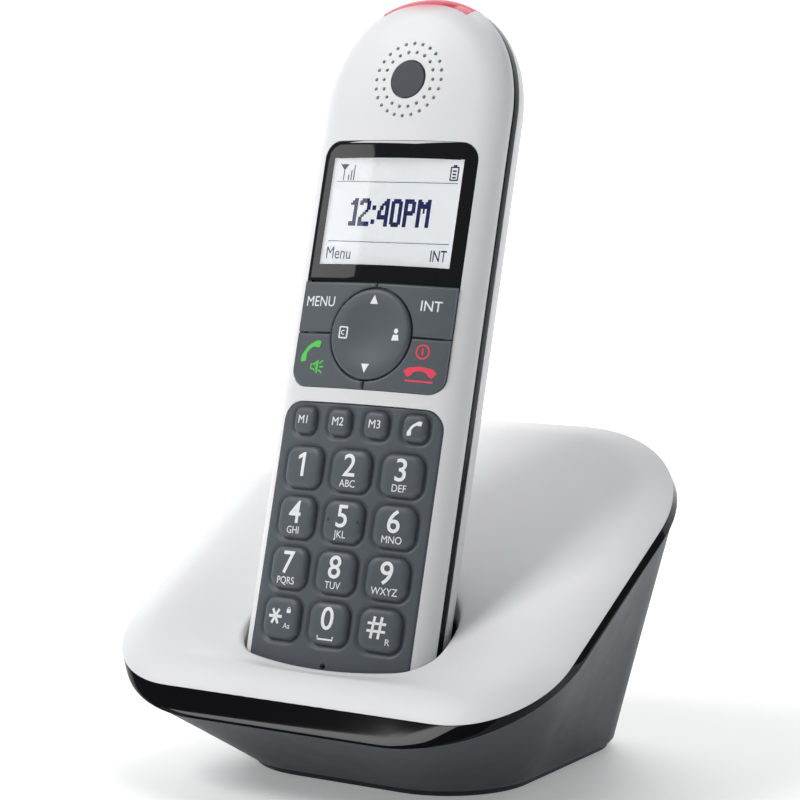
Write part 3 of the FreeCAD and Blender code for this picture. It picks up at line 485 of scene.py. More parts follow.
def rear_shell():
    insets = edge_insets(9.0, 12) + list(np.linspace(9.0, HALF - 0.05, 12))[1:]
    outer = [[(x, back_depth(x, z), z) for x, z in handset_outline(inset)] for inset in insets]
    outer[0] = upright(handset_outline(0), SPLIT_BACK)
    inner = [upright(handset_outline(WALL), SPLIT_BACK)]
    for inset in np.linspace(WALL + 0.3, HALF - 0.05, 16):
        inner.append([(x, max(back_depth(x, z) - WALL - 0.4, SPLIT_BACK + 0.2), z)
                      for x, z in handset_outline(float(inset))])
    return loft("rear_shell", inner[::-1] + outer, HANDSET, "handset", "white_shell",
                replaces=["handset_rear_shell"], angle=40)


def prism(points, y0, y1):
    """Closed prism along y from a list of (x, z) points."""
    return bridge([upright(points, y0), upright(points, y1)])


def circle_points(cx, cz, radius, count=20):
    return [(cx + radius * cos(2 * pi * i / count), cz + radius * sin(2 * pi * i / count))
            for i in range(count)]


def rounded_points(x0, x1, z0, z1, low, top, count=8):
    """Points of a rounded rectangle with its own lower and upper corner radii."""
    points = []
    corners = ((x1, z1, top), (x0, z1, top), (x0, z0, low), (x1, z0, low))
    for turn, (x, z, radius) in enumerate(corners):
        cx = x - radius if x == x1 else x + radius
        cz = z - radius if z == z1 else z + radius
        points += quarter(cx, cz, radius, turn, count)
    return points


def joined(parts):
    """One list of points and one of faces from several."""
    verts, faces = [], []
    for more_verts, more_faces in parts:
        first = len(verts)
        verts += more_verts
        faces += [tuple(first + c for c in face) for face in more_faces]
    return verts, faces


def cut(obj, prisms, place=HANDSET):
    """Take closed prisms, given in the place's frame, out of a piece."""
    mesh = new_mesh("cutter", *joined(prisms), place)
    face_outwards(mesh)
    change = obj.modifiers.new("cut", "BOOLEAN")
    change.object = new_object("cutter", mesh)
    change.solver = "EXACT"
    result = evaluated_mesh(obj)
    bpy.data.objects.remove(change.object)
    obj.modifiers.clear()
    obj.data = result
    smooth_mesh(result, 40)


def hole_ring(z, ring, count, hole, sides, depths):
    """Round cutters spaced evenly on a ring about (0, z)."""
    return [prism(circle_points(*spot, hole, sides), *depths)
            for spot in circle_points(0, z, ring, count)]


def grown_box(half, low, top, slip, low_corner, top_corner):
    """Points of a centred rounded rectangle, let out by a slip."""
    return rounded_points(-half - slip, half + slip, low - slip, top + slip, low_corner, top_corner)


def make_shells():
    """Front and rear shells with all their openings; depths run from the face to the back."""
    window = grown_box(WINDOW_HALF, NAV_LOW, WINDOW_TOP, 0.12, WINDOW_CORNER, WINDOW_CORNER)
    mat = grown_box(MAT_HALF, MAT_LOW, MAT_TOP, 0.12, 2.0, MAT_CORNER)
    openings = [prism(window, -3, 9), prism(mat, -3, 9), prism(circle_points(0, 0, 4.9, 48), -3, 1.65)]
    for ring, count in ((9.15, 24), (6.92, 18)):
        openings += hole_ring(0, ring, count, 0.475, 14, (-2, 4))
    cut(front_shell(), openings)
    grille_z, hole, through = -22, 0.8, (15, 30)
    openings = [prism(circle_points(0, grille_z, hole), *through)]
    for ring, count in ((3, 6), (6, 12)):
        openings += hole_ring(grille_z, ring, count, hole, 20, through)
    openings += [prism(circle_points(x, z, 1.7, 24), 12, 30) for x in (-15, 15) for z in (1, -150)]
    openings.append(prism(grown_box(DOOR_HALF, DOOR_LOW, DOOR_TOP, 0.2, 2.5, 2.5), *through))
    cut(rear_shell(), openings)


def make_door():
    """Battery door with thumb ribs, and the tub that shows behind it."""
    shape = rounded_box(-DOOR_HALF, DOOR_HALF, DOOR_LOW, DOOR_TOP, 2.5)
    depth_of = np.vectorize(back_depth)
    xs = steps(-DOOR_HALF - 0.2, DOOR_HALF + 0.2, 0.6)
    zs = steps(DOOR_LOW - 0.2, DOOR_TOP + 0.2, 0.8)
    ribs = [DOOR_TOP - 7.0 - 1.8 * i for i in range(5)]

    def surface(x, z, depth):
        height = depth_of(x, z) - roll(depth, 0.8, 0.5)
        for rib in ribs:
            inside = np.clip(1 - ((z - rib) / 0.6) ** 2, 0, 1) * (np.abs(x) < 6.5)
            height = height + 0.35 * inside
        return height
    plate("battery_door_panel", xs, zs, shape, surface,
          lambda x, z: depth_of(x, z) - 1.5, HANDSET, "door", "white_shell",
          replaces=["battery_door"])
    inner, outer = [rounded_points(-11.3 - wall, 11.3 + wall, -99 - wall, -47 + wall, 0.6, 0.6, 4)
                    for wall in (0.0, 1.2)]
    loops = [upright(inner, 9.6), upright(inner, 20.2), upright(outer, 20.2), upright(outer, 8.6)]
    loft("battery_tub", loops, HANDSET, "handset", "slate_shell")


def make_band():
    """Gloss band round the handset, open where the light strip sits."""
    strip_half = arch_point(radians(90 - STRIP_ANGLE), 0)[0]
    front = [(3.0, 0.02), (0.25, 0.02), (0.05, 0.2), (0.0, 0.6)]
    loops = [upright(handset_outline(inset), FRONT_DEPTH + step) for inset, step in front]
    loops += [upright(handset_outline(inset), SPLIT_BACK - step) for inset, step in front[::-1]]
    verts, faces = bridge(loops, closed=True)

    def on_strip(face):
        x = sum(verts[c][0] for c in face) / len(face)
        z = sum(verts[c][2] for c in face) / len(face)
        return z > ARCH_Z + 10 and abs(x) < strip_half
    kept = [f for f in faces if not on_strip(f)]
    finish_piece("band_ring", verts, kept + open_ends(kept, len(loops), len(loops[0])), HANDSET,
                 "handset", "edge_black", slot="gloss_black", replaces=["handset_band"], angle=45)


def make_strip():
    """Clear red lens that wraps the arch's rolled front edge down to the band's back."""
    section = [(inset, None) for inset in (2.1, 1.6, 1.15, 0.75, 0.45, 0.2, 0.05)]
    section += [(-0.08, FRONT_DEPTH + 0.4), (-0.08, SPLIT_BACK - 0.4), (0.1, SPLIT_BACK - 0.05),
                (2.9, SPLIT_BACK - 0.05), (2.9, FRONT_DEPTH - 0.4), (2.2, 4.6)]
    loops = []
    for i in range(45):
        angle = radians(90 - STRIP_ANGLE + 2 * STRIP_ANGLE * i / 44)
        loop = []
        for inset, depth in section:
            x, z = arch_point(angle, inset)
            surface = face_depth(x, z, max(inset, 0)) - 0.12
            loop.append((x, surface if depth is None else depth, z))
        loops.append(loop)
    loft("light_strip_lens", loops, HANDSET, "handset", "light_strip", replaces=["light_strip"],
         angle=50)


def open_ends(faces, loop_count, count):
    """The faces that close a ring cut across its section."""
    used = Counter(tuple(sorted(edge)) for face in faces for edge in edges_of(face))
    columns = {a % count for (a, b), times in used.items() if times == 1 and a % count == b % count}
    return [tuple(k * count + column for k in range(loop_count)) for column in sorted(columns)]


# ---------------------------------------------------------------- handset face

def make_window():
    shape = rounded_box(-WINDOW_HALF, WINDOW_HALF, WINDOW_LOW + 0.1, WINDOW_TOP, 0.15,
                        WINDOW_CORNER)
    xs = steps(-WINDOW_HALF, WINDOW_HALF, 0.5, -LIT_HALF, LIT_HALF)
    zs = steps(WINDOW_LOW + 0.1, WINDOW_TOP, 0.5, LIT_LOW, LIT_TOP)
    pane = plate("window_pane", xs, zs, shape,
                 lambda x, z, depth: crown(x) + roll(depth, 0.3, 0.12) - 0.02,
                 lambda x, z: crown(x) + 0.8, HANDSET, "handset", "window",
                 replaces=["display_window"], angle=50)
    pane.data.materials.append(paint["clear"])
    back = HANDSET.inverted()
    for face in pane.data.polygons:
        middle = (back @ face.center) / MM
        if abs(middle.x) < LIT_HALF and LIT_LOW < middle.z < LIT_TOP:
            face.material_index = 1


def corner_key_shape(side, low, high):
    """Signed distance to one of the four keys round the disc."""
    block = rounded_box(-WINDOW_HALF, WINDOW_HALF, NAV_LOW, WINDOW_LOW - GAP, WINDOW_CORNER, 0.1)
    hole = disc(0, NAV_Z, NAV_RADIUS + GAP)

    def distance(x, z):
        own_side = GAP / 2 - side * x
        own_height = np.maximum(low - z, z - high)
        return np.maximum(np.maximum(block(x, z), own_side),
                          np.maximum(own_height, -hole(x, z)))
    return distance


def face_top(x, z, depth):
    return crown(x) - 0.3 + roll(depth, 0.55, 0.3)


def make_nav():
    """The four keys round the disc, and the disc."""
    upper, lower = (NAV_Z, WINDOW_LOW - GAP), (NAV_LOW, NAV_Z - GAP)
    corners = (("menu_key", -1, upper), ("intercom_key", 1, upper), ("call_key", -1, lower),
               ("end_key", 1, lower))
    for node, side, (low, high) in corners:
        xs = steps(*sorted((side * GAP / 2, side * WINDOW_HALF)), 0.3)
        plate(node + "_top", xs, steps(low, high, 0.3), corner_key_shape(side, low, high),
              face_top, 1.6, HANDSET, node + "_cap", "key_rubber", replaces=[node], angle=60)
    loops = [upright(circle_points(0, NAV_Z, radius, 96), depth) for radius, depth in nav_profile()]
    loft("nav_disc_top", loops, HANDSET, "nav_rocker", "key_rubber", replaces=["nav_disc"], angle=60)


def disc_depth(radius):
    """The disc is dished: its ring is highest and its middle lies lower."""
    return -0.42 + 0.75 * (1 - min(radius / 8.6, 1) ** 2) ** 1.5


def nav_profile():
    """The disc's section as (radius, depth), from its skirt over its rolled edge to its middle."""
    edge = 1.2
    profile = [(NAV_RADIUS - 0.2, 2.1), (NAV_RADIUS, 0.3)]
    for i in range(1, 8):
        angle = pi / 2 * i / 7
        profile.append((NAV_RADIUS - edge * (1 - cos(angle)), 0.3 - 0.72 * sin(angle)))
    for i in range(1, 16):
        radius = (NAV_RADIUS - edge) * (1 - i / 16)
        profile.append((radius, disc_depth(radius)))
    return profile


def key_layout():
    """Each keypad key with its middle, read from the CAD, and its width, length and corner."""
    back = HANDSET.inverted()
    for node in sorted(frame["nodes"]):
        if not node.startswith("key_") or node == "key_dome_sheet":
            continue
        points = [(back @ v.co) / MM for v in frame["nodes"][node].data.vertices]
        x = (min(p.x for p in points) + max(p.x for p in points)) / 2
        z = (min(p.z for p in points) + max(p.z for p in points)) / 2
        small = "memory" in node or "recall" in node
        yield node, x, z, *(SMALL_KEY if small else BIG_KEY)


SMALL_KEY, BIG_KEY = (6.4, 6.5, 2.0), (10.8, 10.2, 3.0)
KEY_FLOOR = 1.7
KEYS = list(key_layout())


def key_place(x, z):
    """A key's own frame: square to the crowned face at its column."""
    turn = asin(x / FACE_RADIUS)
    return (HANDSET @ Matrix.Translation(Vector((x, float(crown(x)), z)) * MM)
            @ Matrix.Rotation(turn, 4, "Z"))


def key_height(x, z, depth, small=False):
    """Pillow top: broad soft shoulders and a slightly domed middle."""
    width = 1.5 if small else 2.1
    return -0.72 + roll(depth, width, 0.85) + 0.004 * (x ** 2 + z ** 2)


def key_shape(width, length, corner):
    return rounded_box(-width / 2, width / 2, -length / 2, length / 2, corner)


def make_keys():
    for node, x, z, width, length, corner in KEYS:
        small = (width, length, corner) == SMALL_KEY
        plate(node + "_top", steps(-width / 2, width / 2, 0.3), steps(-length / 2, length / 2, 0.3),
              key_shape(width, length, corner),
              lambda a, b, depth, small=small: key_height(a, b, depth, small), KEY_FLOOR,
              key_place(x, z), node + "_cap", "key_rubber", replaces=[node], angle=60)


def make_mat():
    """Rubber sheet with a soft moat round every key."""
    outline = rounded_box(-MAT_HALF, MAT_HALF, MAT_LOW, MAT_TOP, 2.0, MAT_CORNER)
    microphone = disc(0, MAT_LOW + 4.2, 0.5)
    moats = [rounded_box(x - w / 2, x + w / 2, z - l / 2, z + l / 2, c)
             for _, x, z, w, l, c in KEYS]

    def surface(x, z, depth):
        height = MAT_APEX + crown(x, FACE_RADIUS - MAT_APEX) + roll(depth, 0.7, 0.4)
        nearest = np.full_like(x, 99.0)
        for moat in moats:
            nearest = np.minimum(nearest, moat(x, z))
        height = height + 0.6 * (1 - smooth_step(nearest, -0.1, 1.5))
        return height + 1.2 * (1 - smooth_step(microphone(x, z), -0.1, 0.15))
    xs = steps(-MAT_HALF, MAT_HALF, 0.25)
    zs = steps(MAT_LOW, MAT_TOP, 0.25)
    plate("keypad_sheet", xs, zs, outline, surface, lambda x, z: crown(x) + 2.4, HANDSET,
          "handset", "mat", slot="key_rubber", replaces=["keypad_mat"], angle=60)


def smooth_step(value, low, high):
    part = np.clip((value - low) / (high - low), 0, 1)
    return part * part * (3 - 2 * part)


def make_emblem():
    """Plain dark disc in the middle of the earpiece, with no mark on it."""
    profile = ((4.55, 1.25), (4.6, 0.3), (4.55, 0.18), (4.42, 0.1), (0.2, 0.08))
    loops = [upright(circle_points(0, 0, radius, 64), depth) for radius, depth in profile]
    loft("emblem_plain_disc", loops, HANDSET, "handset", "emblem", replaces=["emblem_disc"],
         angle=12)


# ---------------------------------------------------------------- legends

def flat_text(words, size, width=1.0, bold=0.0):
    """Outline mesh of some words, centred, in millimetres."""
    curve = bpy.data.curves.new("words", "FONT")
    curve.body = words
    curve.size = size
    curve.align_x = "CENTER"
    curve.align_y = "CENTER"
    curve.extrude = 0.06
    curve.offset = bold
    curve.resolution_u = 4
    return curve_points(curve, width)


def flat_shapes(shapes):
    """Mesh of filled outlines given as closed lists of (x, z) points."""
    curve = bpy.data.curves.new("shapes", "CURVE")
    curve.dimensions = "2D"
    curve.fill_mode = "BOTH"
    curve.extrude = 0.06
    for shape in shapes:
        spline = curve.splines.new("POLY")
        spline.points.add(len(shape) - 1)
        for point, (x, z) in zip(spline.points, shape):
            point.co = (x, z, 0, 1)
        spline.use_cyclic_u = True
    return curve_points(curve, 1.0)


def curve_points(curve, width, cell=0.45):
    """Points and faces of a filled outline, cut into small cells so that it can be draped."""
    obj = new_object("outline", curve)
    mesh = evaluated_mesh(obj)
    bpy.data.objects.remove(obj)
    work = bmesh.new()
    work.from_mesh(mesh)
    for axis, normal in enumerate((Vector((1, 0, 0)), Vector((0, 1, 0)))):
        reach = [v.co[axis] for v in work.verts]
        for k in range(int(min(reach) // cell) + 1, int(max(reach) // cell) + 1):
            parts = work.verts[:] + work.edges[:] + work.faces[:]
            bmesh.ops.bisect_plane(work, geom=parts, plane_co=normal * (k * cell + 0.013),
                                   plane_no=normal)
    work.to_mesh(mesh)
    work.free()
    verts = [(v.co.x * width, v.co.y, v.co.z) for v in mesh.vertices]
    return verts, [tuple(p.vertices) for p in mesh.polygons]


def stroke(points, width):
    """Closed outline of a line through points; width is one number or one for each point."""
    left, right = [], []
    widths = width if isinstance(width, list) else [width] * len(points)
    for i, (x, z) in enumerate(points):
        before = points[max(i - 1, 0)]
        after = points[min(i + 1, len(points) - 1)]
        dx, dz = after[0] - before[0], after[1] - before[1]
        length = hypot(dx, dz) or 1
        nx, nz = -dz / length * widths[i] / 2, dx / length * widths[i] / 2
        left.append((x + nx, z + nz))
        right.append((x - nx, z - nz))
    return left + right[::-1]


def arc_line(cx, cz, radius, start, end, count=14):
    return [(cx + radius * cos(radians(start + (end - start) * i / count)),
             cz + radius * sin(radians(start + (end - start) * i / count)))
            for i in range(count + 1)]


def ring_shapes(cx, cz, radius, width):
    return [circle_points(cx, cz, radius + width / 2, 28),
            circle_points(cx, cz, radius - width / 2, 28)]


def print_on(name, parts, surface, place, body, finish, slot, lift=0.05):
    """Lay flat outlines on a surface; parts are (mesh, x, z) in the place's frame."""
    sunk = 0.12
    draped = []
    for (verts, faces), x, z in parts:
        draped.append(([(px + x, surface(px + x, pz + z) + (-lift if up > 0 else sunk), pz + z)
                        for px, pz, up in verts], faces))
    return finish_piece(name, *joined(draped), place, body, finish, slot=slot, angle=30)


def handset_icon(length, turn, sag=0.24):
    """A telephone receiver: a curved bar that thickens into an ear and a mouth end."""
    half_angle = 4 * sag
    radius = length / 2 / sin(half_angle)
    line, widths = [], []
    for i in range(33):
        part = -1 + 2 * i / 32
        angle = pi / 2 - part * half_angle
        line.append((radius * cos(angle), radius * (sin(angle) - 1) + length * sag / 2))
        lobe = float(smooth_step(abs(part), 0.35, 0.72)) - float(smooth_step(abs(part), 0.9, 1.15))
        widths.append(length * (0.15 + 0.11 * lobe))
    shape = stroke(line, widths)
    return [[(x * cos(turn) - z * sin(turn), x * sin(turn) + z * cos(turn)) for x, z in shape]]


def separate(shapes):
    """Meshes of shapes that may overlap, one mesh for each."""
    return [(flat_shapes([shape]), 0, 0) for shape in shapes]


def moved(shapes, x, z):
    return [[(px + x, pz + z) for px, pz in shape] for shape in shapes]


def speaker_icon(scale):
    shapes = [stroke([(-0.95, -0.35), (-0.95, 0.35), (-0.45, 0.35), (0.25, 0.95), (0.25, -0.95),
                      (-0.45, -0.35), (-0.95, -0.35)], 0.24)]
    for turn in (-28, 0, 28):
        c, s = cos(radians(turn)), sin(radians(turn))
        shapes.append(stroke([(0.6 * c, 1.0 * s), (1.3 * c, 1.9 * s)], 0.24))
    return [[(scale * x, scale * z) for x, z in shape] for shape in shapes]


def on_face(x, z):
    return float(crown(x)) - 0.3


def on_disc(x, z):
    return disc_depth(hypot(x, z - NAV_Z))


def make_nav_legends():
    white = ("legend", "key_rubber")
    print_on("legend_menu", [(flat_text("MENU", 3.6, 0.92), -16.0, -55.6)], on_face, HANDSET,
             "menu_key_cap", *white)
    print_on("legend_intercom", [(flat_text("INT", 3.6, 0.98, 0.02), 15.4, -55.6)], on_face,
             HANDSET, "intercom_key_cap", *white)
    call = separate(moved(handset_icon(6.4, radians(42)), -17.0, -67.6))
    call += separate(moved(speaker_icon(1.7), -14.5, -71.6))
    print_on("legend_call", call, on_face, HANDSET, "call_key_cap", "green", "key_rubber")
    end = [(flat_shapes(ring_shapes(14.9, -66.5, 1.62, 0.42)), 0, 0)]
    end += separate([stroke([(14.9, -65.7), (14.9, -67.3)], 0.4)])
    end += separate(moved(handset_icon(7.4, 0, 0.19), 14.9, -71.3))
    end += separate([stroke([(11.3, -73.6), (18.5, -73.6)], 0.45)])
    print_on("legend_end", end, on_face, HANDSET, "end_key_cap", "red", "key_rubber")
    up = [(-1.1, NAV_Z + 7.3), (1.1, NAV_Z + 7.3), (0.0, NAV_Z + 9.5)]
    down = [(x, 2 * NAV_Z - z) for x, z in up]
    book = rounded_points(-8.7, -6.3, NAV_Z - 1.5, NAV_Z + 1.5, 0.4, 0.4, 4)
    page = rounded_points(-8.35, -6.7, NAV_Z - 1.15, NAV_Z + 1.15, 0.2, 0.2, 4)
    person = [circle_points(7.3, NAV_Z + 1.0, 0.62, 20),
              [(6.2, NAV_Z - 1.3), (8.4, NAV_Z - 1.3), (8.05, NAV_Z + 0.1), (6.55, NAV_Z + 0.1)]]
    parts = separate([up, down]) + [(flat_shapes([book, page]), 0, 0)] + separate(person)
    parts += separate([stroke(arc_line(-7.5, NAV_Z, 0.5, 60, 300, 8), 0.24)])
    print_on("legend_arrows", parts, on_disc, HANDSET, "nav_rocker", *white)


LETTERS = {"2": "ABC", "3": "DEF", "4": "GHI", "5": "JKL", "6": "MNO", "7": "PQRS", "8": "TUV",
           "9": "WXYZ"}
ONE = [(-0.15, -2.9), (0.75, -2.9), (0.75, 2.9), (0.05, 2.9), (-1.35, 2.05), (-1.35, 1.15),
       (-0.15, 1.75)]


def key_legend(label):
    """Flat parts of one key's print, about the key's middle."""
    if label.startswith("memory"):
        return [(flat_text("M" + label[-1], 2.9, 0.95), 0, 0)]
    if label == "recall":
        return separate(handset_icon(4.2, radians(45)))
    if label == "star":
        star = [stroke([(-2.0 * cos(a), -2.0 * sin(a)), (2.0 * cos(a), 2.0 * sin(a))], 0.7)
                for a in (0, pi / 3, 2 * pi / 3)]
        lock = [rounded_points(1.9, 3.1, 1.35, 2.25, 0.1, 0.1, 3),
                stroke(arc_line(2.5, 2.3, 0.36, 0, 180, 8), 0.18)]
        return separate(moved(star, -1.4, 0.3) + lock) + [(flat_text("Aa", 1.9), 2.4, -1.8)]
    if label == "hash":
        bars = [stroke([(x - 0.25, -2.6), (x + 0.25, 2.6)], 0.68) for x in (-0.95, 0.95)]
        bars += [stroke([(-2.4, z), (2.4, z)], 0.62) for z in (-0.85, 0.95)]
        return separate(moved(bars, -0.6, 0.5)) + [(flat_text("R", 2.2), 2.6, -2.7)]
    if label == "1":
        return [(flat_shapes([ONE]), 0, 0.6)]
    digit = [(flat_text(label, 7.7, 0.98, 0.07), 0, 0.9)]
    if label == "0":
        space = stroke([(-2.1, -3.0), (-2.1, -3.8), (2.1, -3.8), (2.1, -3.0)], 0.42)
        return digit + separate([space])
    return digit + [(flat_text(LETTERS[label], 2.5, 0.92), 0, -3.25)]


def make_key_legends():
    for node, x, z, width, length, corner in KEYS:
        small = (width, length, corner) == SMALL_KEY
        shape = key_shape(width, length, corner)

        def surface(px, pz, shape=shape, small=small):
            depth = max(-float(shape(np.array(px), np.array(pz))), 0)
            return float(key_height(px, pz, np.array(depth), small))
        label = node[len("key_"):]
        print_on("legend_" + node, key_legend(label), surface, key_place(x, z), node + "_cap",
                 "legend", "key_rubber", lift=0.04)
        if label == "5":
            nibs = [(flat_shapes([circle_points(side * 4.1, 0.2, 0.34, 14)]), 0, 0)
                    for side in (-1, 1)]
            print_on("nibs_key_5", nibs, surface, key_place(x, z), node + "_cap", "key_rubber",
                     "key_rubber", lift=0.32)


# ---------------------------------------------------------------- display

GLYPHS = {
    "1": "..## .### #### ..## ..## ..## ..## ..## ..## ..## #### ####",
    "2": ".####. ###### ##..## ....## ....## ...##. ..##.. .##... ##.... ##.... ###### ######",
    ":": ".. .. .. ## ## .. .. .. .. ## ## ..",
    "4": "....## ...### ..#### .##.## .##.## ##..## ##..## ###### ###### ....## ....## ....##",
    "0": ".####. ###### ##..## ##..## ##..## ##..## ##..## ##..## ##..## ##..## ###### .####.",
    "P": "#####. ###### ##..## ##..## ##..## ###### #####. ##.... ##.... ##.... ##.... ##....",
    "M": "##...## ###.### ####### ####### ##.#.## ##.#.## ##...## ##...## ##...## ##...## ##...## ##...##",
}


def clock_shapes(words, left, top, dot_x, dot_z):
    """Blocks of a dot-matrix clock: one for each unbroken run of marks in a row."""
    shapes = []
    for word in words:
        rows = GLYPHS[word].split()
        for r, row in enumerate(rows):
            z0, z1 = top - (r + 1) * dot_z, top - r * dot_z
            for run in re.finditer("#+", row):
                x0, x1 = left + run.start() * dot_x, left + run.end() * dot_x
                shapes.append([(x0, z0), (x1, z0), (x1, z1), (x0, z1)])
        left += (len(rows[0]) + 1) * dot_x
    return shapes


PANEL_DEPTH = 2.05


def make_display():
    """The lit film behind the window and the marks printed on it."""
    reach = 0.8
    x0, x1, z0, z1 = -LIT_HALF - reach, LIT_HALF + reach, LIT_LOW - reach, LIT_TOP + reach
    plate("display_film", steps(x0, x1, 2.0), steps(z0, z1, 2.0), rounded_box(x0, x1, z0, z1, 0.2),
          lambda x, z, depth: np.full_like(x, PANEL_DEPTH), PANEL_DEPTH + 0.35, HANDSET,
          "handset", "display")
    inks = [(flat_text("Menu", 4.3, 0.76), -13.6, -43.3),
            (flat_text("INT", 4.0, 0.72, 0.02), 14.6, -43.3)]
    marks = [stroke([(-17.2, z), (17.2, z)], 0.16) for z in (-25.3, -40.2)]
    marks += clock_shapes("12:40PM", -12.1, -29.4, 0.53, 0.577)
    marks += [stroke([(-16.6, -20.9), (-15.3, -22.6), (-14.0, -20.9), (-16.6, -20.9)], 0.24),
              stroke([(-15.3, -20.9), (-15.3, -25.0)], 0.26)]
    for i in range(3):
        x = -13.9 + 0.75 * i
        marks.append(stroke([(x, -25.0), (x, -23.6 + 1.2 * i)], 0.3))
    inks += separate(marks)
    cell = [rounded_points(14.7, 17.1, -24.7, -21.2, 0.1, 0.1, 2),
            rounded_points(15.05, 16.75, -24.35, -21.55, 0.1, 0.1, 2)]
    inks += [(flat_shapes(cell), 0, 0)]
    bars = ((-21.0, 0.45), (-22.3, 0.4), (-23.1, 0.4), (-23.9, 0.4))
    inks += separate([stroke([(15.4, z), (16.4, z)], width) for z, width in bars])
    print_on("display_marks", inks, lambda x, z: PANEL_DEPTH, HANDSET, "handset", "ink",
             "display", lift=0.03)


# ---------------------------------------------------------------- base

def base_outline(half, front, back, front_corner, back_corner, inset=0.0):
    """Points of the base's outline: four arcs and four runs, always as many of each."""
    half, front, back = half - inset, front - inset, back - inset
    front_corner, back_corner = max(front_corner - inset, 0.3), max(back_corner - inset, 0.3)
    spots = ((half - back_corner, back - back_corner, back_corner),
             (-half + back_corner, back - back_corner, back_corner),
             (-half + front_corner, -front + front_corner, front_corner),
             (half - front_corner, -front + front_corner, front_corner))
    arcs = [quarter(*spot, turn, 24) for turn, spot in enumerate(spots)]
    points = []
    for arc, following in zip(arcs, arcs[1:] + arcs[:1]):
        points += arc + between(arc[-1], following[0], 20)[1:]
    return points


RIM_SIZES = (61.6, 57.4, 56.8, 24.0, 39.0)
TRIM_SIZES = (62.1, 64.7, 57.3, 36.0, 39.5)
FOOT_SIZES = (38.5, 27.8, 52.0, 23.5, 18.0)
TRIM_DROP = 2.56
WELL_MIDDLE = -27.0
COVER_EDGE, COVER_RISE, LIP_RISE, LIP_GAP = 11.0, 3.0, 0.7, 1.25
FRONT_SNUG = 0.3
WELL_GAP, LIP_DROP = 1.3, 4.0
JACK_X, JACK_LOW, PAGE_Z = 12.0, 9.6, 45.0
ALONG = (RIM.inverted() @ HANDSET).to_3x3() @ Vector((0, 0, 1))


def polar(points, count=288):
    """Resample a closed outline at even angles about the well's middle."""
    angles = np.array([atan2(y - WELL_MIDDLE, x) for x, y in points])
    radii = np.array([hypot(x, y - WELL_MIDDLE) for x, y in points])
    order = np.argsort(angles)
    wanted = np.linspace(-pi, pi, count, endpoint=False)
    found = np.interp(wanted, angles[order], radii[order], period=2 * pi)
    return [(r * cos(a), WELL_MIDDLE + r * sin(a)) for a, r in zip(wanted, found)]


def docked_outline(gap):
    """Points where the handset's section, grown by a gap, meets the rim's plane.

    The handset leans on the front of its well, so the gap is smaller there.
    """
    outline = []
    to_rim = RIM.inverted() @ HANDSET
    for x, y in grown_section(gap, FRONT_SNUG):
        start = to_rim @ (Vector((x, y, 0)) * MM) / MM
        hit = start - ALONG * (start.z / ALONG.z)
        outline.append((hit.x, hit.y))
    return outline


def grown_section(gap, snug=0.0):
    """The handset's section grown by a gap, less by the snug share towards its face."""
    across = [-HALF + 2 * HALF * i / 240 for i in range(241)]
    section = [(x, face_depth(x, ARCH_Z - 30, HALF - abs(x))) for x in across]
    section += [(-x, back_depth(x, ARCH_Z - 30)) for x in across]
    grown = []
    for i, (x, y) in enumerate(section):
        before, after = section[i - 2], section[(i + 2) % len(section)]
        dx, dy = after[0] - before[0], after[1] - before[1]
        length = hypot(dx, dy) or 1
        own = gap * (1 - snug * max(dx / length, 0) ** 2)
        grown.append((x + dy / length * own, y - dx / length * own))
    return grown


def edge_rise(inset):
    """Height of the cover's rolled edge above the rim's plane."""
    part = min(inset / COVER_EDGE, 1)
    return COVER_RISE * sin(pi / 2 * part) ** 0.9


def make_cover():
    """Soft top: a rolled edge, a shoulder that falls to the lip, and a skirt into the well."""
    fillet, skirt, steepest, shoulder_inset = 1.6, 7.0, 2.2, 7.4
    loops = [raised(polar(base_outline(*RIM_SIZES, inset)), edge_rise(inset))
             for inset in (0.0, 0.15, 0.4, 0.8, 1.4, 2.2, 3.2, 4.4, 5.8, shoulder_inset)]
    shoulder = polar(base_outline(*RIM_SIZES, shoulder_inset))
    lip = polar(docked_outline(LIP_GAP + fillet))
    opening = polar(docked_outline(LIP_GAP))
    start = edge_rise(shoulder_inset)
    slope = (start - edge_rise(shoulder_inset - 0.1)) / 0.1
    tangents = [min(slope * run, steepest) for run in gaps(shoulder, lip)]
    for i in range(1, 19):
        part = i / 18
        leaving, turning = 2 * part ** 3 - 3 * part ** 2 + 1, part ** 3 - 2 * part ** 2 + part
        loops.append([(x, y, leaving * start + turning * tangent + (1 - leaving) * LIP_RISE)
                      for (x, y), tangent in zip(mixed(shoulder, lip, part), tangents)])
    for i in range(1, 7):
        angle = pi / 2 * i / 6
        loops.append(raised(mixed(lip, opening, sin(angle)), LIP_RISE - fillet * (1 - cos(angle))))
    for outline in (opening, lip):
        lowered = [(x - ALONG.x * skirt, y - ALONG.y * skirt) for x, y in outline]
        loops.append(raised(lowered, LIP_RISE - fillet - ALONG.z * skirt))
    loops.append(raised(polar(docked_outline(LIP_GAP + fillet + 0.3)), -1.2))
    for inset in (9.0, 4.0, 2.4):
        height = max(edge_rise(inset) - 1.9, 0.0) if inset > 3 else 0.0
        loops.append(raised(polar(base_outline(*RIM_SIZES, inset)), height))
    loft("cover_top", loops, RIM, "base", "white_shell", True, replaces=["base_cover"], angle=50)


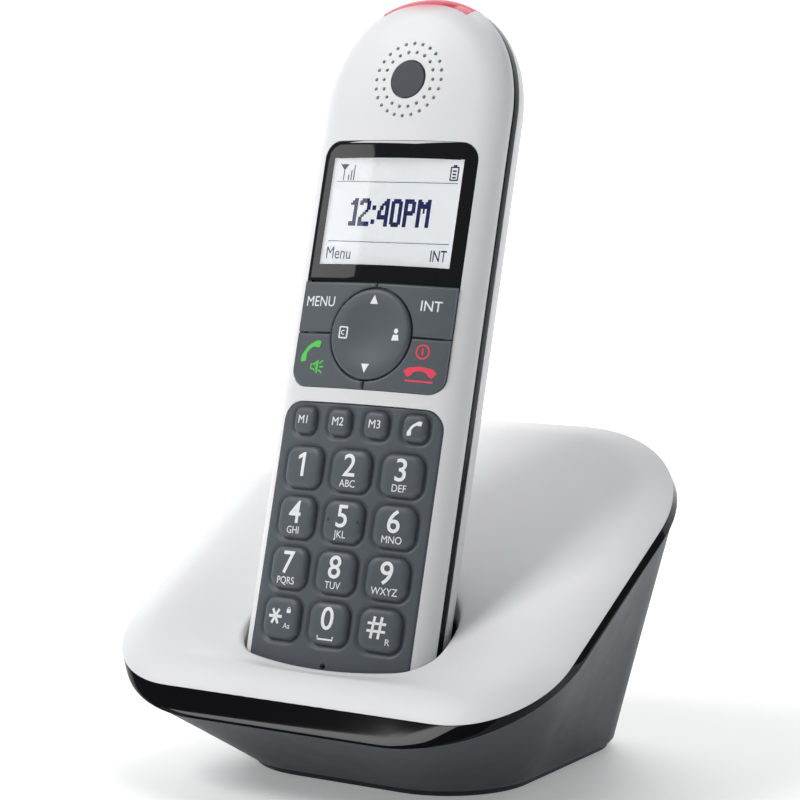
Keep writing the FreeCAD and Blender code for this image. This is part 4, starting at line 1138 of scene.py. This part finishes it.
def make_base_band():
    """Flared gloss band under the cover's edge: flat, and rolled at its lower edge."""
    rim, trim = base_outline(*RIM_SIZES), base_outline(*TRIM_SIZES)
    runs = gaps(rim, trim)
    loops = [raised(base_outline(*RIM_SIZES, 0.35), -0.03)]
    for i in range(25):
        part = i / 24
        height, bulge = -0.12 - (TRIM_DROP - 0.3) * part, part - part ** 14
        loops.append([(x, y, height + min(0.05 * run, 0.34) * bulge)
                      for (x, y), run in zip(mixed(rim, trim, part), runs)])
    loops += [raised(base_outline(*TRIM_SIZES, inset), -TRIM_DROP) for inset in (0.15, 3.0)]
    loops.append(raised(base_outline(*RIM_SIZES, 3.0), -0.03))
    loft("base_band_ring", loops, RIM, "base", "gloss_black", True, replaces=["base_band"],
         angle=40)


def make_lower_shell():
    """Wedge from the band down to the foot, with holes for the sockets and the page key."""
    tilt = RIM @ Matrix.Translation((0, 0, -TRIM_DROP * MM))
    foot = 2.0

    def ring(inset, part):
        top = [(tilt @ (Vector((x, y, 0)) * MM)) / MM
               for x, y in base_outline(*TRIM_SIZES, 0.45 + inset)]
        low = [Vector(p) for p in raised(base_outline(*FOOT_SIZES, inset), foot)]
        return [tuple(a.lerp(b, part)) for a, b in zip(top, low)]
    loops = [ring(0.0, part) for part in np.linspace(0, 0.985, 25)]
    loops.append(raised(base_outline(*FOOT_SIZES, 0.5), foot))
    loops += [ring(2.4, part) for part in (1.0, 0.5, 0.0)]
    shell = loft("lower_shell", loops, WORLD, "base", "slate_shell", True,
                 replaces=["base_lower_shell"], angle=50)
    mouths = [rounded_points(x - 6.2, x + 6.2, JACK_LOW - 0.2, JACK_LOW + 10.2, 0.8, 0.8, 3)
              for x in (-JACK_X, JACK_X)]
    page = prism(circle_points(0, PAGE_Z, 5.3, 40), 35, 62)
    cut(shell, [prism(mouth, 35, 60) for mouth in mouths] + [page], WORLD)


def make_well():
    """Cup that holds the handset's end, kept below the cover's lip."""
    to_handset = HANDSET.inverted() @ RIM
    normal = to_handset.to_3x3() @ Vector((0, 0, 1))
    middle = to_handset @ Vector((0, 0, 0)) / MM
    wall, floor_z, floor = 1.6, END_Z - 0.1, 2.0

    def under_lip(gap):
        """The section's points on the rim's plane, lowered along the handset."""
        points = []
        for x, y in grown_section(gap):
            z = middle.z - (normal.x * (x - middle.x) + normal.y * (y - middle.y)) / normal.z
            points.append((x, y, z - LIP_DROP))
        return points
    loops = [raised(grown_section(WELL_GAP), floor_z), under_lip(WELL_GAP),
             under_lip(WELL_GAP + wall), raised(grown_section(WELL_GAP + wall), floor_z - floor)]
    loft("well_cup", loops, HANDSET, "base", "slate_shell", replaces=["cradle_well"], angle=50)


def dress_cad_nodes():
    """Give every CAD node that stays its slot's material."""
    slots = {p["node"]: p["material_slot"] for p in frame["record"]["subparts"]}
    for name, obj in frame["nodes"].items():
        obj.data.materials.clear()
        obj.data.materials.append(paint[slots[name]])


# ---------------------------------------------------------------- stage

AZIMUTH, ELEVATION = radians(31.967), radians(6.586)


def stand(name, data, spot, towards):
    """Put a camera or a light somewhere, turned to face a direction."""
    obj = new_object(name, data)
    obj.location = spot
    obj.rotation_mode = "QUATERNION"
    obj.rotation_quaternion = towards.to_track_quat("-Z", "Y")
    return obj


def make_camera():
    aim, distance = Vector((3.177, -7.226, 91.785)) * MM, 620.695
    back = Vector((sin(AZIMUTH) * cos(ELEVATION), -cos(AZIMUTH) * cos(ELEVATION), sin(ELEVATION)))
    data = bpy.data.cameras.new("camera")
    data.lens = 115.41
    data.sensor_width = 36.0
    bpy.context.scene.camera = stand("camera", data, aim + back * distance * MM, -back)


def area_light(name, spot, aim, size_x, size_y, power):
    data = bpy.data.lights.new(name, "AREA")
    data.shape = "RECTANGLE"
    data.size, data.size_y = size_x, size_y
    data.energy = power
    stand(name, data, spot, Vector(aim) - Vector(spot))


def backdrop_material():
    """Pale paper that gives off a little light, more of it further out."""
    material, tree, shader = new_material("backdrop")
    tone = two_tone(tree, noise(tree, 1.5), (0.86, 0.86, 0.86), (0.9, 0.9, 0.9))
    tree.links.new(tone, shader.inputs["Base Color"])
    tree.links.new(tone, shader.inputs["Emission Color"])
    glow = add(tree, "MapRange", From_Min=0.15, From_Max=0.9, To_Min=0.3, To_Max=1.0)
    place = add(tree, "TexCoord").outputs["Object"]
    tree.links.new(distance_from(tree, place), glow.inputs["Value"])
    tree.links.new(glow.outputs["Result"], shader.inputs["Emission Strength"])
    dial(shader, Roughness=0.7)
    return material


def make_backdrop():
    """Floor that curves up into a wall behind the object; its sizes are metres."""
    floor_end, bend = 0.9, 0.9
    profile = [(-3.0, 0.0)]
    for i in range(13):
        angle = pi / 2 * i / 12
        profile.append((floor_end + bend * sin(angle), bend * (1 - cos(angle))))
    profile.append((1.8, 3.5))
    verts = [(x, y, z) for y, z in profile for x in (-4.0, 4.0)]
    faces = [(2 * i, 2 * i + 1, 2 * i + 3, 2 * i + 2) for i in range(len(profile) - 1)]
    mesh = bpy.data.meshes.new("backdrop")
    mesh.from_pydata(verts, [], faces)
    mesh.polygons.foreach_set("use_smooth", [True] * len(mesh.polygons))
    mesh.materials.append(backdrop_material())
    backdrop = new_object("backdrop", mesh)
    backdrop.rotation_euler = (0, 0, AZIMUTH)


def make_lights():
    """Faint cool surroundings and three soft panels."""
    world = bpy.data.worlds.new("studio")
    bpy.context.scene.world = world
    world.use_nodes = True
    dial(world.node_tree.nodes["Background"], Color=(0.95, 0.97, 1.0, 1), Strength=0.17)
    area_light("key", (-0.76, -0.76, 1.18), (0, 0, 0.08), 0.6, 0.6, 12.0)
    area_light("top", (0.0, 0.35, 1.4), (0, 0, 0.05), 0.7, 0.7, 5.0)
    area_light("low_card", (-1.10, -0.91, 0.59), (0, 0, 0.12), 0.37, 0.35, 0.6)
    bpy.context.scene.view_settings.view_transform = "Standard"


for make in (make_camera, make_backdrop, make_lights, dress_cad_nodes, make_shells, make_door,
             make_band, make_strip, make_window, make_display, make_nav, make_keys, make_mat,
             make_emblem, make_nav_legends, make_key_legends, make_cover, make_base_band,
             make_lower_shell, make_well):
    make()
